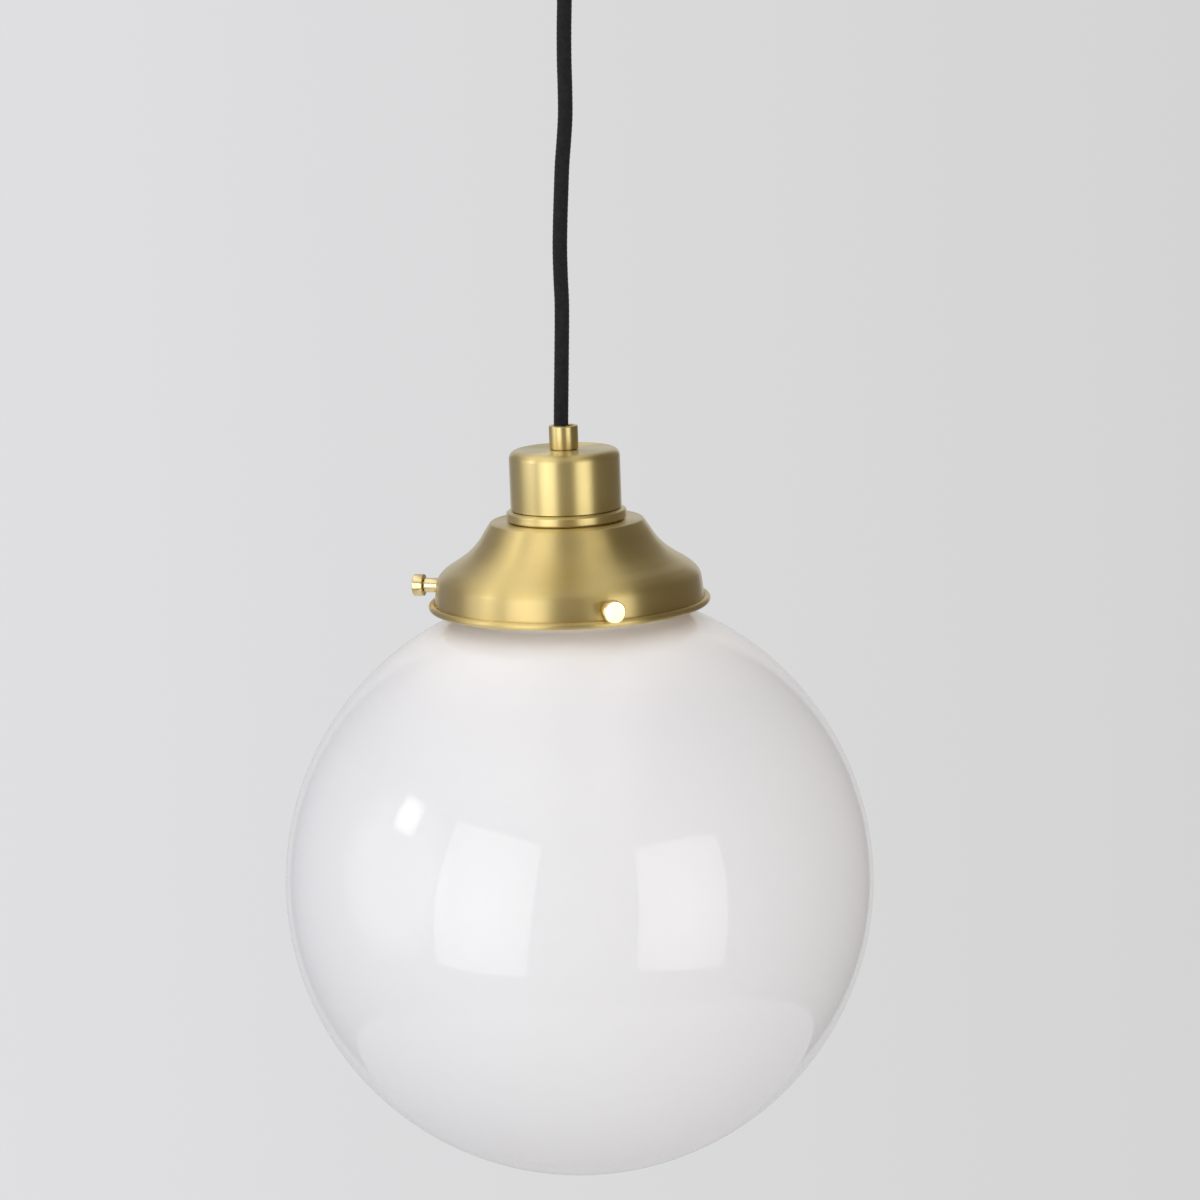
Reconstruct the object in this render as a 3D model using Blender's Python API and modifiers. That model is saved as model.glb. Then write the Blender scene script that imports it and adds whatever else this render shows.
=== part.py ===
"""Pendant ceiling light: an opal glass globe held by a brass gallery on a textile flex.

The row frame has its origin at the middle of the ceiling bracket's top face, +Z up, and everything
hangs below it. The lamp's axis is the Z axis. Sizes are in millimetres and become metres in the
helpers. The lamp's own pieces are drawn about its shoulder, the flat top face of the gallery.
"""

import math

import bmesh
import bpy
from mathutils import Vector

MM = 0.001
GAP = 0.3                       # space kept between touching pieces
COLLECTION = "pendant_ceiling_light"

# Heights below the ceiling
ROSE_MOUTH_Z = -38.0            # lower end of the rose's cord grip
LAMP_MOUTH_Z = -280.0           # upper end of the lamp's cord grip
SHOULDER_Z = -319.0             # flat top of the gallery

# Facets of turned pieces
FINE = 32
MEDIUM = 20
SMALL = 12

# Flex and its cores
FLEX_R = 3.1
CORE_R = 1.05
CORD_ROUTE = [                  # x, y, z of the hanging flex, from the rose down to the lamp
    (0.0, 0.0, -38.3), (0.0, 0.0, -44.0), (0.9, 0.2, -54.0), (3.2, 0.5, -66.0),
    (5.7, 0.7, -79.0), (7.0, 0.7, -91.0), (6.9, 0.5, -103.5), (6.3, 0.3, -116.0),
    (5.9, 0.1, -128.5), (5.8, 0.0, -140.5), (5.5, -0.1, -151.5), (4.6, 0.0, -161.5),
    (3.5, 0.2, -171.5), (2.7, 0.4, -182.5), (1.9, 0.5, -194.5), (1.3, 0.5, -206.5),
    (1.2, 0.4, -218.0), (1.3, 0.2, -228.0), (1.0, 0.0, -238.0), (0.5, -0.1, -249.0),
    (0.0, -0.2, -260.0), (-0.5, -0.2, -270.5), (-0.9, -0.1, -279.7),
]
CORD_STEP = 12.5                # distance between the tube's rings

# Cord grip: a barrel outside the sheet and a threaded stem through it
GRIP_BARREL_R = 6.1
GRIP_STEM_R = 4.9
GRIP_BORE_R = 4.2
GRIP_BARREL_L = 9.7
GRIP_STEM_L = 8.5
GRIP_SCREW_ANGLE = math.radians(40.0)
GRIP_SCREW_R = 1.4
GRIP_NUT_R = 8.1
GRIP_NUT_H = 3.5
SHEET_HOLE_R = 5.2              # hole that the stem passes
TAIL_INSET = 2.0                # the clamped flex starts this far inside the mouth
TAIL_LEAN = 0.7                 # how far the grub screw pushes it aside
DOWNWARD = (math.pi, 0.0, 0.0)  # turn of a piece that points down

# Ceiling rose
BRACKET_R = 47.0
BRACKET_T = 1.6
BRACKET_SLOT = (5.0, 12.0)      # width and length of each woodscrew slot
BRACKET_SLOT_X = 29.0
TAB_OUTER_X = 48.0
TAB_WIDTH = 12.0
TAB_DROP = 13.0
ROSE_R = 50.0
ROSE_FLOOR_Z = -28.0
ROSE_SHEET = 0.8
ROSE_FILLET = 6.0
ROSE_SCREW_Z = -8.3
ROSE_SCREW_R = 1.9
ROSE_SCREW_TIP = 44.5           # distance of the screw's end from the axis
ROSE_SCREW_HEAD_R = 4.5
ROSE_SCREW_HEAD_L = 4.0
ENTRY_Y = 26.0
ENTRY_R = 8.0
BLOCK_SIZE = (34.0, 14.0, 11.0)
BLOCK_Y = -17.0
BLOCK_SCREW_X = 5.5
BLOCK_SCREW_R = 1.4
POLE_X = {"live": -11.0, "earth": 0.0, "neutral": 11.0}
POLE_HOLE_R = 1.7
POLE_SCREW_R = 1.9
POLE_SCREW_L = 3.4
POLE_SCREW_PROUD = 0.6
EARTH_POST = (-17.0, 20.0)

# Lampholder cover and its ring
CAP_R = 23.3
CAP_TOP = 29.0
CAP_FOOT = 4.2
CAP_FILLET = 3.3
CAP_SHEET = 0.9
RING_R = 25.2                   # middle band of the ring under the cover
RING_BAND = (2.9, 0.2)
RING_STEP_R = 23.6              # its sloping top starts here
RING_FOOT_R = 24.5
RING_TOP = 3.9
CLAMP_RING_R = 25.5
CLAMP_RING_H = 3.4
SKIRT_R = 19.6                  # outside of the lampholder's threaded skirt
SKIRT_BORE_R = 17.6
SKIRT_FOOT = -24.0
SKIRT_FLANGE_R = 22.0
SKIRT_FLANGE = (8.0, 6.0)
THREAD_RING_BORE_R = 19.9       # the cover's ring and the clamp ring, on the skirt's thread
SHELL_R = 14.1                  # E27 screw shell
SHELL_BORE_R = 13.5
SHELL_TOP = 2.1
SHELL_FOOT = -23.0
SHELL_HOLE_R = 6.0
SHELL_FILLET = 1.5
CORE_HEAD_R = 21.6               # porcelain core's head, above the flange
CORE_TOP = 14.0
CORE_FOOT = 2.4
HOLDER_SCREW_X = 11.0
TAG_R = 8.4
TAG_T = 0.6

# Gallery, spun from sheet, with a beaded rim
GALLERY_SHEET = 0.8
GALLERY_TOP = -0.9              # its flat top, a little below the shoulder
GALLERY_HOLE_R = 20.2
GALLERY_SIDE = [                # radius and height down its outside
    (32.3, GALLERY_TOP), (34.3, -4.2), (37.4, -9.0), (41.5, -13.5),
    (46.6, -17.3), (51.9, -20.7), (55.2, -24.3), (56.2, -29.3), (56.6, -34.9),
]
BEAD_R = 57.85
BEAD_Z = -35.7
BEAD_TUBE = 1.45

# Thumbscrews that hold the globe, at equal angles
THUMBSCREWS = {"front": math.radians(-74.0), "left": math.radians(166.0), "back": math.radians(46.0)}
SCREW_Z = -29.3
BOSS_R = 3.1
BOSS_SPAN = (56.7, 62.9)
STUD_R = 1.9
STUD_TIP_R = 1.4
STUD_TIP_AT = 46.8
STUD_NECK_AT = 49.5
KNOB_SPAN = (63.3, 67.7)
KNOB_R = 4.7

# Globe, a 250 mm ball of opal glass with a neck and a flared lip
GLOBE_R = 125.0
GLOBE_Z = -156.2
GLASS = 3.0
NECK_R = 46.5
LIP_R = 46.9
LIP_Z = -20.9
LIP_TUBE = 1.7

# Bulb, an LED lamp with an E27 cap
BULB_TIP = -2.0
BULB_TIP_R = 4.2
BULB_TIP_H = 1.4
BULB_CAP_R = 13.0
BULB_CAP_TOP_R = 10.6
BULB_CAP_SPAN = (-6.6, -27.0)
BULB_COLLAR_TOP_R = 14.4
BULB_COLLAR_WAIST = (18.6, -38.0)
BULB_COLLAR_FOOT = -50.0
BULB_COLLAR_R = 22.5
BULB_DOME_SHOULDER = (27.2, -62.0)
BULB_R = 30.0
BULB_MIDDLE = -80.0
BULB_GLASS = 1.0


# Helpers ----------------------------------------------------------------------------------------

def clear_scene():
    for old in list(bpy.data.objects):
        bpy.data.objects.remove(old)


def new_collection(name):
    made = bpy.data.collections.new(name)
    bpy.context.scene.collection.children.link(made)
    return made


def make_material(name, color, metallic, roughness):
    made = bpy.data.materials.new(name)
    made.use_nodes = True
    shader = made.node_tree.nodes["Principled BSDF"]
    shader.inputs["Base Color"].default_value = (*color, 1.0)
    shader.inputs["Metallic"].default_value = metallic
    shader.inputs["Roughness"].default_value = roughness
    made.diffuse_color = (*color, 1.0)
    return made


def arc(x, z, radius, start, end, steps):
    """Points of an arc, angles in degrees from +X towards +Z."""
    return [
        (x + radius * math.cos(math.radians(start + (end - start) * i / steps)),
         z + radius * math.sin(math.radians(start + (end - start) * i / steps)))
        for i in range(steps + 1)
    ]


def smooth_path(points, count):
    """A Catmull-Rom curve through the points, with count steps for each of them."""
    points = [Vector(p) for p in points]
    ends = [2 * points[0] - points[1], *points, 2 * points[-1] - points[-2]]
    path = []
    for before, a, b, after in zip(ends, ends[1:], ends[2:], ends[3:]):
        for i in range(count):
            t = i / count
            path.append(0.5 * (
                2 * a + (b - before) * t + (2 * before - 5 * a + 4 * b - after) * t ** 2
                + (3 * a - before - 3 * b + after) * t ** 3))
    path.append(points[-1])
    return path


def evenly_spaced(path, step):
    """The path's points again, a step apart along its length."""
    lengths = [0.0]
    for a, b in zip(path, path[1:]):
        lengths.append(lengths[-1] + (b - a).length)
    count = max(2, round(lengths[-1] / step))
    spaced = []
    for i in range(count + 1):
        target = lengths[-1] * i / count
        k = next(k for k in range(1, len(path)) if lengths[k] >= target or k == len(path) - 1)
        share = (target - lengths[k - 1]) / (lengths[k] - lengths[k - 1])
        spaced.append(path[k - 1].lerp(path[k], share))
    return spaced


def offset_inwards(points, distance):
    """A copy of a profile that runs downwards, moved towards the axis across its own slope."""
    moved = []
    for i, (x, z) in enumerate(points):
        ahead = points[min(i + 1, len(points) - 1)]
        behind = points[max(i - 1, 0)]
        slope = Vector((ahead[0] - behind[0], ahead[1] - behind[1])).normalized()
        moved.append((x + slope.y * distance, z - slope.x * distance))
    return moved


def evaluated_mesh(obj):
    bpy.context.view_layer.update()
    depsgraph = bpy.context.evaluated_depsgraph_get()
    return bpy.data.meshes.new_from_object(obj.evaluated_get(depsgraph))


def shade(mesh):
    mesh.shade_smooth()
    mesh.set_sharp_from_angle(angle=math.radians(32.0))


def new_object(name, data, material=None):
    obj = bpy.data.objects.new(name, data)
    PARTS.objects.link(obj)
    if material is not None:
        data.materials.append(material)
    return obj


def place(obj, parent, at=(0.0, 0.0, 0.0), turn=(0.0, 0.0, 0.0)):
    """Parent an object to a pivot and put it at a place in the row frame."""
    obj.parent = parent
    obj.location = Vector(at) * MM - parent.location
    obj.rotation_euler = turn
    return obj


def pivot(name, at):
    empty = bpy.data.objects.new(name, None)
    empty.empty_display_size = 0.02
    empty.location = Vector(at) * MM
    PARTS.objects.link(empty)
    return empty


def turned(name, profile, material, parent, at, facets=MEDIUM, turn=(0.0, 0.0, 0.0), loop=True):
    """A solid of revolution. A loop is a ring; an open profile starts and ends on the axis."""
    mesh = bpy.data.meshes.new(name)
    points = [(x * MM, 0.0, z * MM) for x, z in profile]
    edges = [(i, i + 1) for i in range(len(points) - 1)]
    if loop:
        edges.append((len(points) - 1, 0))
    mesh.from_pydata(points, edges, [])
    obj = new_object(name, mesh)
    screw = obj.modifiers.new("turn", "SCREW")
    screw.axis = "Z"
    screw.angle = math.tau
    screw.steps = facets
    screw.render_steps = facets
    screw.use_merge_vertices = True
    screw.merge_threshold = 0.00001
    obj.data = evaluated_mesh(obj)
    obj.modifiers.clear()
    obj.data.materials.append(material)
    shade(obj.data)
    return place(obj, parent, at, turn)


def box(name, size, material, parent, at, turn=(0.0, 0.0, 0.0), bevel=0.0):
    """A box about its middle, with its edges rounded by bevel."""
    bm = bmesh.new()
    bmesh.ops.create_cube(bm, size=1.0)
    bmesh.ops.scale(bm, vec=Vector(size) * MM, verts=bm.verts)
    mesh = bpy.data.meshes.new(name)
    bm.to_mesh(mesh)
    bm.free()
    obj = new_object(name, mesh, material)
    if bevel:
        rounding = obj.modifiers.new("edges", "BEVEL")
        rounding.width = bevel * MM
        rounding.segments = 2
    return place(obj, parent, at, turn)


def cylinder(name, radius, length, material, parent, at, turn=(0.0, 0.0, 0.0), facets=SMALL):
    """A cylinder about its middle, along its own Z."""
    bm = bmesh.new()
    bmesh.ops.create_cone(
        bm, cap_ends=True, segments=facets,
        radius1=radius * MM, radius2=radius * MM, depth=length * MM)
    mesh = bpy.data.meshes.new(name)
    bm.to_mesh(mesh)
    bm.free()
    shade(mesh)
    obj = new_object(name, mesh, material)
    return place(obj, parent, at, turn)


def as_cutter(obj):
    PARTS.objects.unlink(obj)
    CUTTERS.objects.link(obj)
    obj.hide_render = True
    obj.display_type = "WIRE"
    return obj


def boolean(obj, other, operation="DIFFERENCE"):
    cut = obj.modifiers.new(operation.lower(), "BOOLEAN")
    cut.operation = operation
    cut.solver = "EXACT"
    cut.object = as_cutter(other)
    return obj


def drill(obj, radius, length, at, turn=(0.0, 0.0, 0.0), facets=SMALL):
    name = f"{obj.name}_cut_{len(obj.modifiers)}"
    return boolean(obj, cylinder(name, radius, length, None, obj.parent, at, turn, facets))


def tube(name, points, radius, material, parent, resolution=2):
    """A round wire through the points, on a POLY spline with filled ends."""
    curve = bpy.data.curves.new(name, "CURVE")
    curve.dimensions = "3D"
    curve.bevel_depth = radius * MM
    curve.bevel_resolution = resolution
    curve.use_fill_caps = True
    spline = curve.splines.new("POLY")
    spline.points.add(len(points) - 1)
    for slot, point in zip(spline.points, points):
        slot.co = (*(Vector(point) * MM), 1.0)
    obj = new_object(name, curve, material)
    return place(obj, parent)


def radial(angle, distance, height):
    """A place at a distance from the lamp's axis."""
    return (distance * math.cos(angle), distance * math.sin(angle), height)


def outward(angle):
    """The turn that lays an object's own Z along a radius."""
    return (0.0, math.pi / 2, angle)


# Hardware that the rose and the lamp share ------------------------------------------------------

def grip(name, parent, face_z, up):
    """Cord grip whose barrel stands on a sheet's face, upwards or downwards."""
    lip = 0.6
    barrel_end = GAP + GRIP_BARREL_L
    profile = [
        (GRIP_BORE_R, barrel_end), (GRIP_BARREL_R - lip, barrel_end),
        (GRIP_BARREL_R, barrel_end - lip), (GRIP_BARREL_R, GAP),
        (GRIP_STEM_R, GAP), (GRIP_STEM_R, -GRIP_STEM_L), (GRIP_BORE_R, -GRIP_STEM_L),
    ]
    turn = (0.0, 0.0, 0.0) if up else DOWNWARD
    obj = turned(name, profile, BRASS, parent, (0, 0, face_z), MEDIUM, turn)
    return drill(obj, GRIP_SCREW_R + GAP, 6.0, grip_screw_at(face_z, up, 6.0), outward(GRIP_SCREW_ANGLE))


def grip_screw_at(face_z, up, distance):
    side = 1.0 if up else -1.0
    return radial(GRIP_SCREW_ANGLE, distance, face_z + side * (GAP + GRIP_BARREL_L / 2))


def grip_screw(name, parent, face_z, up):
    """Grub screw that pinches the flex in the grip."""
    inner, outer = 2.9, 6.0
    at = grip_screw_at(face_z, up, (inner + outer) / 2)
    return cylinder(name, GRIP_SCREW_R, outer - inner, STEEL, parent, at, outward(GRIP_SCREW_ANGLE))


def hex_nut(name, parent, middle_z):
    """Hexagon nut on the grip's stem."""
    obj = cylinder(name, GRIP_NUT_R, GRIP_NUT_H, BRASS, parent, (0, 0, middle_z), facets=6)
    return drill(obj, SHEET_HOLE_R, GRIP_NUT_H * 2, (0, 0, middle_z), facets=MEDIUM)


def flex_tail(name, parent, ends):
    """End of the flex inside a grip, leaning away from the grub screw."""
    lean = radial(GRIP_SCREW_ANGLE, -TAIL_LEAN, 0.0)
    middle = (lean[0], lean[1], sum(ends) / 2)
    return cylinder(name, FLEX_R, abs(ends[1] - ends[0]), TEXTILE, parent, middle, facets=16)


def slotted_screw(name, parent, at, head_r, head_h, stem_r, stem_l, turn=(0.0, 0.0, 0.0), facets=SMALL):
    """Screw with a slotted cheese head: the head is on its own +Z side, the stem below."""
    profile = [
        (0.0, head_h), (head_r - 0.3, head_h), (head_r, head_h - 0.3), (head_r, 0.0),
        (stem_r, 0.0), (stem_r, -stem_l), (0.0, -stem_l),
    ]
    obj = turned(name, profile, STEEL, parent, at, facets, turn, loop=False)
    slot = box(f"{name}_slot", (head_r * 3, 0.8, 1.6), None, parent, (0, 0, 0), turn)
    slot.location = obj.location + obj.rotation_euler.to_matrix() @ Vector((0, 0, head_h * MM))
    return boolean(obj, slot)


def core_wire(name, parent, route, material):
    """Insulated core of the flex, bent through its route."""
    return tube(name, smooth_path(route, 3), CORE_R, material, parent, resolution=1)


# Ceiling rose -----------------------------------------------------------------------------------

def ceiling_bracket():
    disc = cylinder(
        "ceiling_bracket", BRACKET_R, BRACKET_T, ZINC, ROSE, (0, 0, -BRACKET_T / 2), facets=FINE)
    for side in (-1, 1):
        x = side * (TAB_OUTER_X - BRACKET_T / 2)
        tab = box(
            f"bracket_tab_{side}", (BRACKET_T, TAB_WIDTH, TAB_DROP), None, ROSE,
            (x, 0, -TAB_DROP / 2))
        boolean(disc, tab, "UNION")
    for side in (-1, 1):
        drill(disc, ROSE_SCREW_R + GAP, 6.0, (side * TAB_OUTER_X, 0, ROSE_SCREW_Z), outward(0.0))
        slot_size = (*BRACKET_SLOT, BRACKET_T * 3)
        slot = box(f"bracket_slot_{side}", slot_size, None, ROSE, (side * BRACKET_SLOT_X, 0, 0))
        boolean(disc, slot)
    drill(disc, ENTRY_R, BRACKET_T * 3, (0, ENTRY_Y, 0), facets=MEDIUM)
    drill(disc, POLE_SCREW_R, BRACKET_T * 3, (*EARTH_POST, 0))


def entry_grommet():
    """Rubber bush in the bracket's cable entry, grooved for the plate's edge."""
    waist = ENTRY_R - GAP
    flange = ENTRY_R + 1.6
    bore = waist - 2.2
    lower = -BRACKET_T - GAP
    foot = lower - 2.2
    profile = [
        (waist, -GAP), (waist, lower), (flange, lower), (flange, foot + 1.0),
        (waist - 1.0, foot), (bore, foot), (bore, -GAP),
    ]
    turned("entry_grommet", profile, RUBBER, ROSE, (0, ENTRY_Y, 0), MEDIUM)


def rose_cup():
    """Spun brass cup that covers the bracket and rests on the ceiling."""
    outside = [(ROSE_R, -GAP), *arc(
        ROSE_R - ROSE_FILLET, ROSE_FLOOR_Z + ROSE_FILLET, ROSE_FILLET, 0, -90, 5)]
    inner_fillet = ROSE_FILLET - ROSE_SHEET
    inside = [*arc(
        ROSE_R - ROSE_FILLET, ROSE_FLOOR_Z + ROSE_FILLET, inner_fillet, -90, 0, 4),
        (ROSE_R - ROSE_SHEET, -GAP)]
    hole = [(SHEET_HOLE_R, ROSE_FLOOR_Z), (SHEET_HOLE_R, ROSE_FLOOR_Z + ROSE_SHEET)]
    obj = turned("rose_cup", outside + hole + inside, BRASS, ROSE, (0, 0, 0), FINE)
    for side in (-1, 1):
        drill(obj, ROSE_SCREW_R + GAP, 8.0, (side * ROSE_R, 0, ROSE_SCREW_Z), outward(0.0))


def rose_screws():
    """Two knurled screws through the cup into the bracket's tabs."""
    stem = ROSE_R + GAP - ROSE_SCREW_TIP
    head = ROSE_SCREW_HEAD_L
    edge = 0.5
    profile = [
        (0.0, head), (ROSE_SCREW_HEAD_R - edge, head), (ROSE_SCREW_HEAD_R, head - edge),
        (ROSE_SCREW_HEAD_R, edge), (ROSE_SCREW_HEAD_R - edge, 0.0),
        (ROSE_SCREW_R, 0.0), (ROSE_SCREW_R, -stem), (0.0, -stem),
    ]
    for name, angle in (("right", 0.0), ("left", math.pi)):
        turned(
            f"rose_screw_{name}", profile, BRASS, ROSE,
            radial(angle, ROSE_R + GAP, ROSE_SCREW_Z), 16, outward(angle), loop=False)


def terminal_block():
    """Three-pole block under the bracket, one clamping screw for each pole."""
    top = -BRACKET_T - GAP
    middle = top - BLOCK_SIZE[2] / 2
    foot = top - BLOCK_SIZE[2]
    block = box("terminal_block", BLOCK_SIZE, NYLON, ROSE, (0, BLOCK_Y, middle))
    for x in POLE_X.values():
        drill(block, POLE_HOLE_R, BLOCK_SIZE[1] * 2, (x, BLOCK_Y, middle), (math.pi / 2, 0, 0))
        drill(block, POLE_SCREW_R + GAP, 8.0, (x, BLOCK_Y, foot))
    drill(block, BLOCK_SCREW_R + GAP, BLOCK_SIZE[2] * 2, (BLOCK_SCREW_X, BLOCK_Y, middle))
    slotted_screw(
        "block_screw", ROSE, (BLOCK_SCREW_X, BLOCK_Y, foot - GAP), 2.4, 1.4, BLOCK_SCREW_R,
        BLOCK_SIZE[2], DOWNWARD)
    for pole, x in POLE_X.items():
        z = foot + POLE_SCREW_L / 2 - POLE_SCREW_PROUD
        cylinder(f"terminal_screw_{pole}", POLE_SCREW_R, POLE_SCREW_L, STEEL, ROSE, (x, BLOCK_Y, z))


def rose_wiring():
    """Cores from the grip to the block, and a link from the block to the bracket's earth screw.

    The routes are x, y and height of each bend.
    """
    block_face = BLOCK_Y + BLOCK_SIZE[1] / 2
    middle = -BRACKET_T - GAP - BLOCK_SIZE[2] / 2
    starts = {"live": (-1.9, 0.2), "earth": (-0.4, -1.9), "neutral": (0.9, 0.6)}
    colors = {"live": BROWN, "earth": GREEN, "neutral": BLUE}
    for pole, x in POLE_X.items():
        sx, sy = starts[pole]
        route = [
            (sx, sy, -15.2), (sx * 1.6, sy - 0.5, -12.5), (sx + (x - sx) * 0.55, -5.5, middle - 1.2),
            (x, block_face + 1.5, middle), (x, block_face - 2.5, middle),
        ]
        if pole == "earth":
            route[1] = (sx, -3.0, -12.5)
            route[2] = (sx, -6.0, middle - 0.6)
        core_wire(f"rose_{pole}_wire", ROSE, route, colors[pole])
    post_x, post_y = EARTH_POST
    back = BLOCK_Y - BLOCK_SIZE[1] / 2
    link = [
        (0.0, back + 2.5, middle), (0.0, back - 2.5, middle), (-9.0, back - 5.5, middle),
        (-22.5, back + 2.0, middle + 1.0), (-27.0, -6.0, middle + 2.0), (-24.0, 12.0, middle + 2.0),
        (post_x - 3.4, post_y - 2.0, -4.6),
    ]
    core_wire("bracket_earth_link", ROSE, link, GREEN)
    slotted_screw(
        "bracket_earth_screw", ROSE, (post_x, post_y, -BRACKET_T - GAP), 2.2, 1.8, 1.5, 1.7, DOWNWARD)


def ceiling_rose():
    ceiling_bracket()
    entry_grommet()
    rose_cup()
    rose_screws()
    terminal_block()
    rose_wiring()
    grip("rose_grip", ROSE, ROSE_FLOOR_Z, up=False)
    grip_screw("rose_grip_screw", ROSE, ROSE_FLOOR_Z, up=False)
    hex_nut("rose_grip_nut", ROSE, ROSE_FLOOR_Z + ROSE_SHEET + GAP + GRIP_NUT_H / 2)
    flex_tail("rose_flex_tail", ROSE, (ROSE_MOUTH_Z + TAIL_INSET, -16.4))


# Cord -------------------------------------------------------------------------------------------

def hanging_cord():
    path = evenly_spaced(smooth_path(CORD_ROUTE, 6), CORD_STEP)
    tube("cord", path, FLEX_R, TEXTILE, CORD, resolution=3)


# Lampholder -------------------------------------------------------------------------------------

def shoulder(x=0.0, y=0.0, z=0.0):
    """A place given about the lamp's shoulder."""
    return (x, y, SHOULDER_Z + z)


def holder_cap():
    """Drawn brass cover of the lampholder."""
    outside = [(CAP_R, CAP_FOOT)]
    inner_fillet = CAP_FILLET - CAP_SHEET
    inside = [(CAP_R - CAP_SHEET, CAP_FOOT)]
    inside += arc(CAP_R - CAP_FILLET, CAP_TOP - CAP_FILLET, inner_fillet, 0, 90, 3)
    inside += [(SHEET_HOLE_R, CAP_TOP - CAP_SHEET), (SHEET_HOLE_R, CAP_TOP)]
    outside = arc(CAP_R - CAP_FILLET, CAP_TOP - CAP_FILLET, CAP_FILLET, 90, 0, 4) + outside
    turned("holder_cap", outside + inside, BRASS, LAMP, shoulder(), MEDIUM)


def cap_ring():
    """Threaded ring between the cover and the gallery: a sloping top, a full band, a smaller foot."""
    band_top, band_foot = RING_BAND
    slope = (RING_R - GAP, (RING_TOP + band_top) / 2)
    foot = GALLERY_TOP + GAP
    profile = [
        (THREAD_RING_BORE_R, RING_TOP), (RING_STEP_R, RING_TOP), slope, (RING_R, band_top),
        (RING_R, band_foot), (RING_FOOT_R, foot), (THREAD_RING_BORE_R, foot),
    ]
    turned("cap_ring", profile, BRASS, LAMP, shoulder(), MEDIUM)


def clamp_ring():
    """Shade ring on the skirt's thread, which holds the gallery from below."""
    top = GALLERY_TOP - GALLERY_SHEET - GAP
    foot = top - CLAMP_RING_H
    edge = 0.5
    profile = [
        (THREAD_RING_BORE_R, top), (CLAMP_RING_R - edge, top), (CLAMP_RING_R, top - edge),
        (CLAMP_RING_R, foot + edge), (CLAMP_RING_R - edge, foot), (THREAD_RING_BORE_R, foot),
    ]
    turned("clamp_ring", profile, BRASS, LAMP, shoulder(), MEDIUM)


def lampholder():
    """Threaded skirt, porcelain core, screw shell and its contact."""
    flange_top, flange_foot = SKIRT_FLANGE
    skirt = [
        (SKIRT_BORE_R, flange_top), (SKIRT_FLANGE_R, flange_top), (SKIRT_FLANGE_R, flange_foot),
        (SKIRT_R, flange_foot), (SKIRT_R, SKIRT_FOOT), (SKIRT_BORE_R, SKIRT_FOOT),
    ]
    turned("lampholder_skirt", skirt, BRASS, LAMP, shoulder(), MEDIUM)
    seat = flange_top + GAP
    plug_r = SKIRT_BORE_R - GAP
    edge = 0.8
    core = [
        (0.0, CORE_TOP), (CORE_HEAD_R - edge, CORE_TOP), (CORE_HEAD_R, CORE_TOP - edge),
        (CORE_HEAD_R, seat), (plug_r, seat), (plug_r, CORE_FOOT), (0.0, CORE_FOOT),
    ]
    porcelain = turned("porcelain_core", core, CERAMIC, LAMP, shoulder(), MEDIUM, loop=False)
    for side in (-1, 1):
        drill(porcelain, POLE_SCREW_R + GAP, 8.0, shoulder(side * HOLDER_SCREW_X, 0.0, CORE_TOP))
    sheet = SHELL_R - SHELL_BORE_R
    fillet_z = SHELL_TOP - SHELL_FILLET
    shell = [
        (SHELL_HOLE_R, SHELL_TOP), *arc(SHELL_R - SHELL_FILLET, fillet_z, SHELL_FILLET, 90, 0, 2),
        (SHELL_R, SHELL_FOOT), (SHELL_BORE_R, SHELL_FOOT), (SHELL_BORE_R, fillet_z),
        (SHELL_BORE_R - 0.9, SHELL_TOP - sheet), (SHELL_HOLE_R, SHELL_TOP - sheet),
    ]
    turned("screw_shell", shell, BRASS, LAMP, shoulder(), MEDIUM)
    button_r = 2.2
    contact = [
        (0.0, SHELL_TOP), (BULB_TIP_R, SHELL_TOP), (BULB_TIP_R, SHELL_TOP - sheet),
        (button_r + 0.6, SHELL_TOP - 2 * sheet), (button_r, BULB_TIP + GAP), (0.0, BULB_TIP + GAP),
    ]
    turned("centre_contact", contact, BRASS, LAMP, shoulder(), SMALL, loop=False)


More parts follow.
